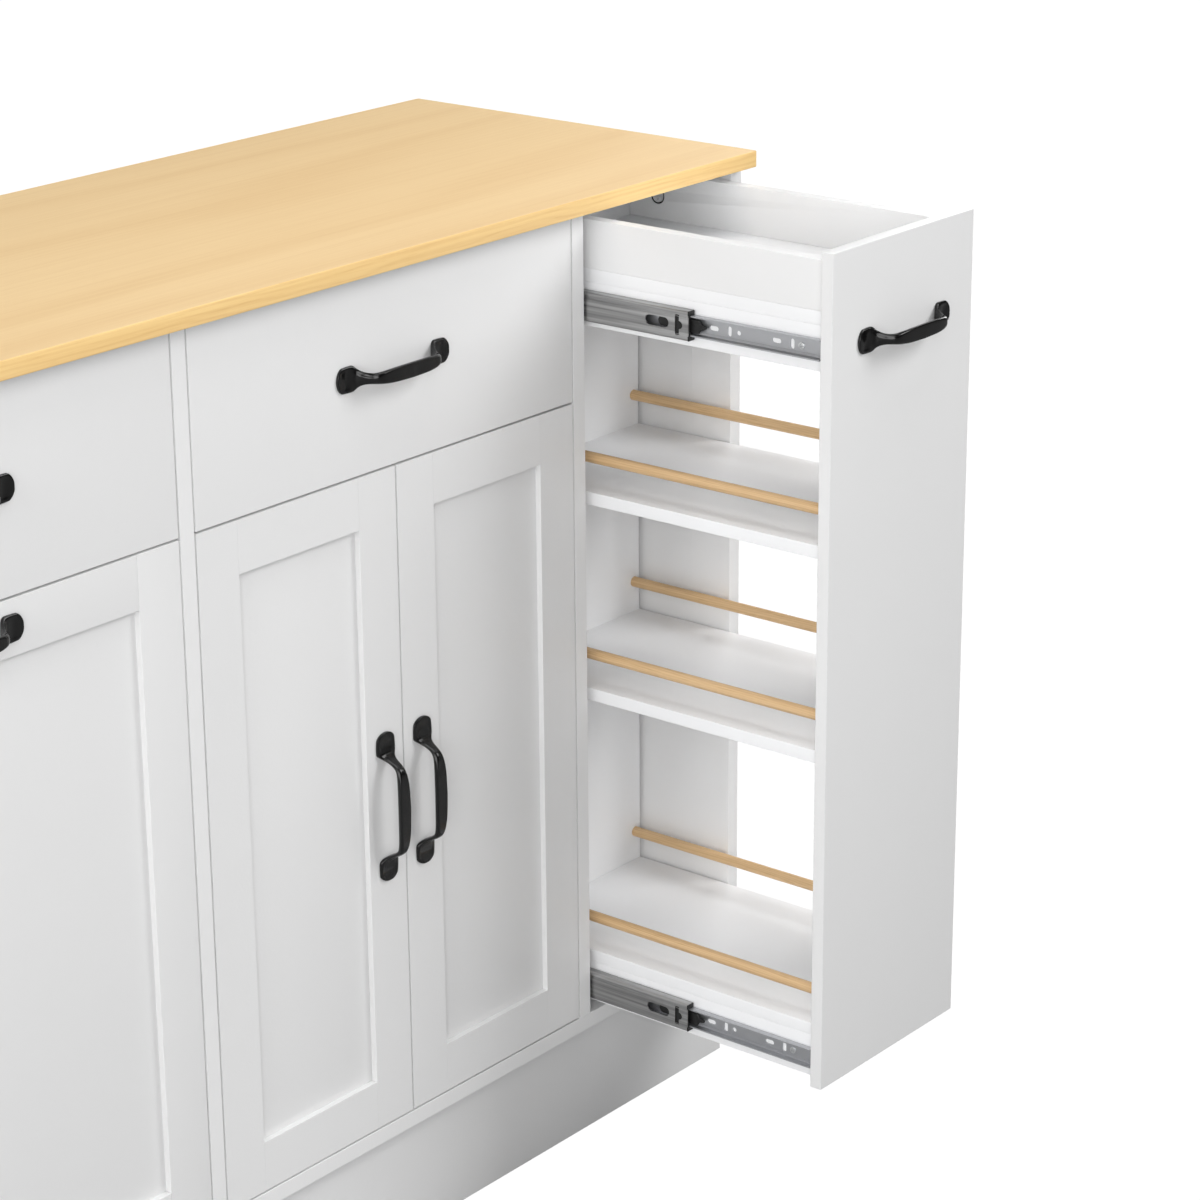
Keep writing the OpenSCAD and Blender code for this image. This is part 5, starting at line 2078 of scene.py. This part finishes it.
@dataclass(frozen=True)
class Studio:
    """Camera, lights, world and floor.

    Args:
        eye: place of the camera.
        yaw: turn of its view from +Y towards +X, in degrees.
        pitch: tilt of its view, in degrees, downwards below 0.
        roll: turn about its view, in degrees.
        lens: focal length in millimetres.
        sensor: width of the sensor in millimetres.
        clip: the nearest and the furthest distance that the camera shows.
        floor_half: half of the floor's side.
        floor_steps: points along a side of the floor.
        floor_grey: grey of the floor as the island is lit by it.
        floor_glow: brightness of the floor where it is seen.
        floor_share: share of that brightness in what is seen.
        sky_light: strength of the white all round that lights the island.
        target: the point that the lamps look at.
        lamps: soft boxes in front on both sides, one above, one behind and one at each end.
    """

    eye: Point = (-1.8892, -2.0402, 1.5686)
    yaw: float = 50.975
    pitch: float = -19.278
    roll: float = -0.455
    lens: float = 103.1
    sensor: float = 36.0
    clip: tuple[float, float] = (0.1, 60.0)
    floor_half: float = 12.0
    floor_steps: int = 13
    floor_grey: float = 0.35
    floor_glow: float = 1.06
    floor_share: float = 0.97
    sky_light: float = 0.06
    target: Point = (0.2, -0.25, 0.5)
    lamps: tuple[Lamp, ...] = (
        Lamp("key_light", (2.2, -2.8, 2.8), 2.0, 86.0),
        Lamp("rim_light", (3.6, 0.6, 1.6), 1.6, 46.0),
        Lamp("fill_light", (-2.8, -2.6, 1.2), 2.0, 52.0),
        Lamp("high_fill_light", (-2.4, -2.6, 2.9), 2.0, 24.0),
        Lamp("left_light", (-3.6, -0.6, 1.6), 1.8, 50.0),
        Lamp("top_light", (0.2, -0.4, 3.6), 2.4, 48.0),
        Lamp("back_light", (-0.8, 3.6, 1.5), 2.2, 60.0))

    def camera(self) -> None:
        """Makes the camera and puts it in charge."""
        yaw, pitch, roll = (math.radians(value) for value in (self.yaw, self.pitch, self.roll))
        forward = Vector((math.sin(yaw) * math.cos(pitch), math.cos(yaw) * math.cos(pitch),
                          math.sin(pitch)))
        right = Vector((math.cos(yaw), -math.sin(yaw), 0.0))
        up = right.cross(forward)
        across = right * math.cos(roll) + up * math.sin(roll)
        over = up * math.cos(roll) - right * math.sin(roll)
        data = bpy.data.cameras.new("camera")
        data.lens = self.lens
        data.sensor_width = self.sensor
        data.clip_start, data.clip_end = self.clip
        camera = bpy.data.objects.new("camera", data)
        turn = Matrix((across, over, -forward)).transposed().to_4x4()
        camera.matrix_world = Matrix.Translation(self.eye) @ turn
        bpy.context.scene.collection.objects.link(camera)
        bpy.context.scene.camera = camera

    def lights(self) -> None:
        """Makes the soft boxes, all pointed at the target."""
        for lamp in self.lamps:
            lamp.build(self.target)

    def world(self) -> None:
        """White behind the island, and a dimmer white for its light."""
        world = bpy.data.worlds.new("world")
        bpy.context.scene.world = world
        world.use_nodes = True
        world.node_tree.nodes.clear()
        tree = Tree(world.node_tree)
        seen = tree.node("ShaderNodeLightPath").outputs["Is Camera Ray"]
        strength = tree.remap(seen, 0.0, 1.0, self.sky_light, 1.0)
        sky = tree.node("ShaderNodeBackground", {"Color": (1.0, 1.0, 1.0, 1.0), "Strength": strength})
        output = tree.node("ShaderNodeOutputWorld")
        tree.feed(output.inputs["Surface"], sky.outputs["Background"])

    def floor(self) -> None:
        """A plain white floor, bright where it is seen."""
        line = np.linspace(-self.floor_half, self.floor_half, self.floor_steps)
        x, y = np.meshgrid(line, line, indexing="ij")
        shell = Shell(np.stack([x, y, 0 * x], axis=2).reshape(-1, 3),
                      [grid_faces(self.floor_steps, self.floor_steps, False)])
        floor = write_mesh("floor", shell)
        material = bpy.data.materials.new("floor_white")
        material.use_nodes = True
        material.node_tree.nodes.clear()
        tree = Tree(material.node_tree)
        seen = tree.node("ShaderNodeLightPath").outputs["Is Camera Ray"]
        matte = tree.node("ShaderNodeBsdfDiffuse", {"Color": (*[self.floor_grey] * 3, 1.0)})
        glow = tree.node("ShaderNodeEmission", {"Color": (1.0, 1.0, 1.0, 1.0),
                                                "Strength": self.floor_glow})
        mixed = tree.node("ShaderNodeMixShader", {0: tree.math("MULTIPLY", seen, self.floor_share),
                                                  1: matte.outputs[0], 2: glow.outputs[0]})
        output = tree.node("ShaderNodeOutputMaterial")
        tree.feed(output.inputs["Surface"], mixed.outputs[0])
        floor.data.materials.append(material)
        floor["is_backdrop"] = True

    def build(self) -> None:
        """Sets up the whole studio."""
        bpy.context.scene.view_settings.view_transform = "Standard"
        self.camera()
        self.lights()
        self.world()
        self.floor()


def main() -> None:
    """Builds the island and its studio."""
    logging.basicConfig(level=logging.INFO, format="%(name)s: %(message)s")
    frame = Frame()
    parts = [Worktop(), Carcass(), Fittings(), Rack(), Drawer("drawer_left"),
             Drawer("drawer_right"), Caddy(), HungDoor("door_left"), HungDoor("door_right")]
    for part in parts:
        LOG.info("building %s", type(part).__name__)
        part.build(frame)
    Studio().build()
    bpy.context.view_layer.update()


if __name__ == "__main__":
    main()
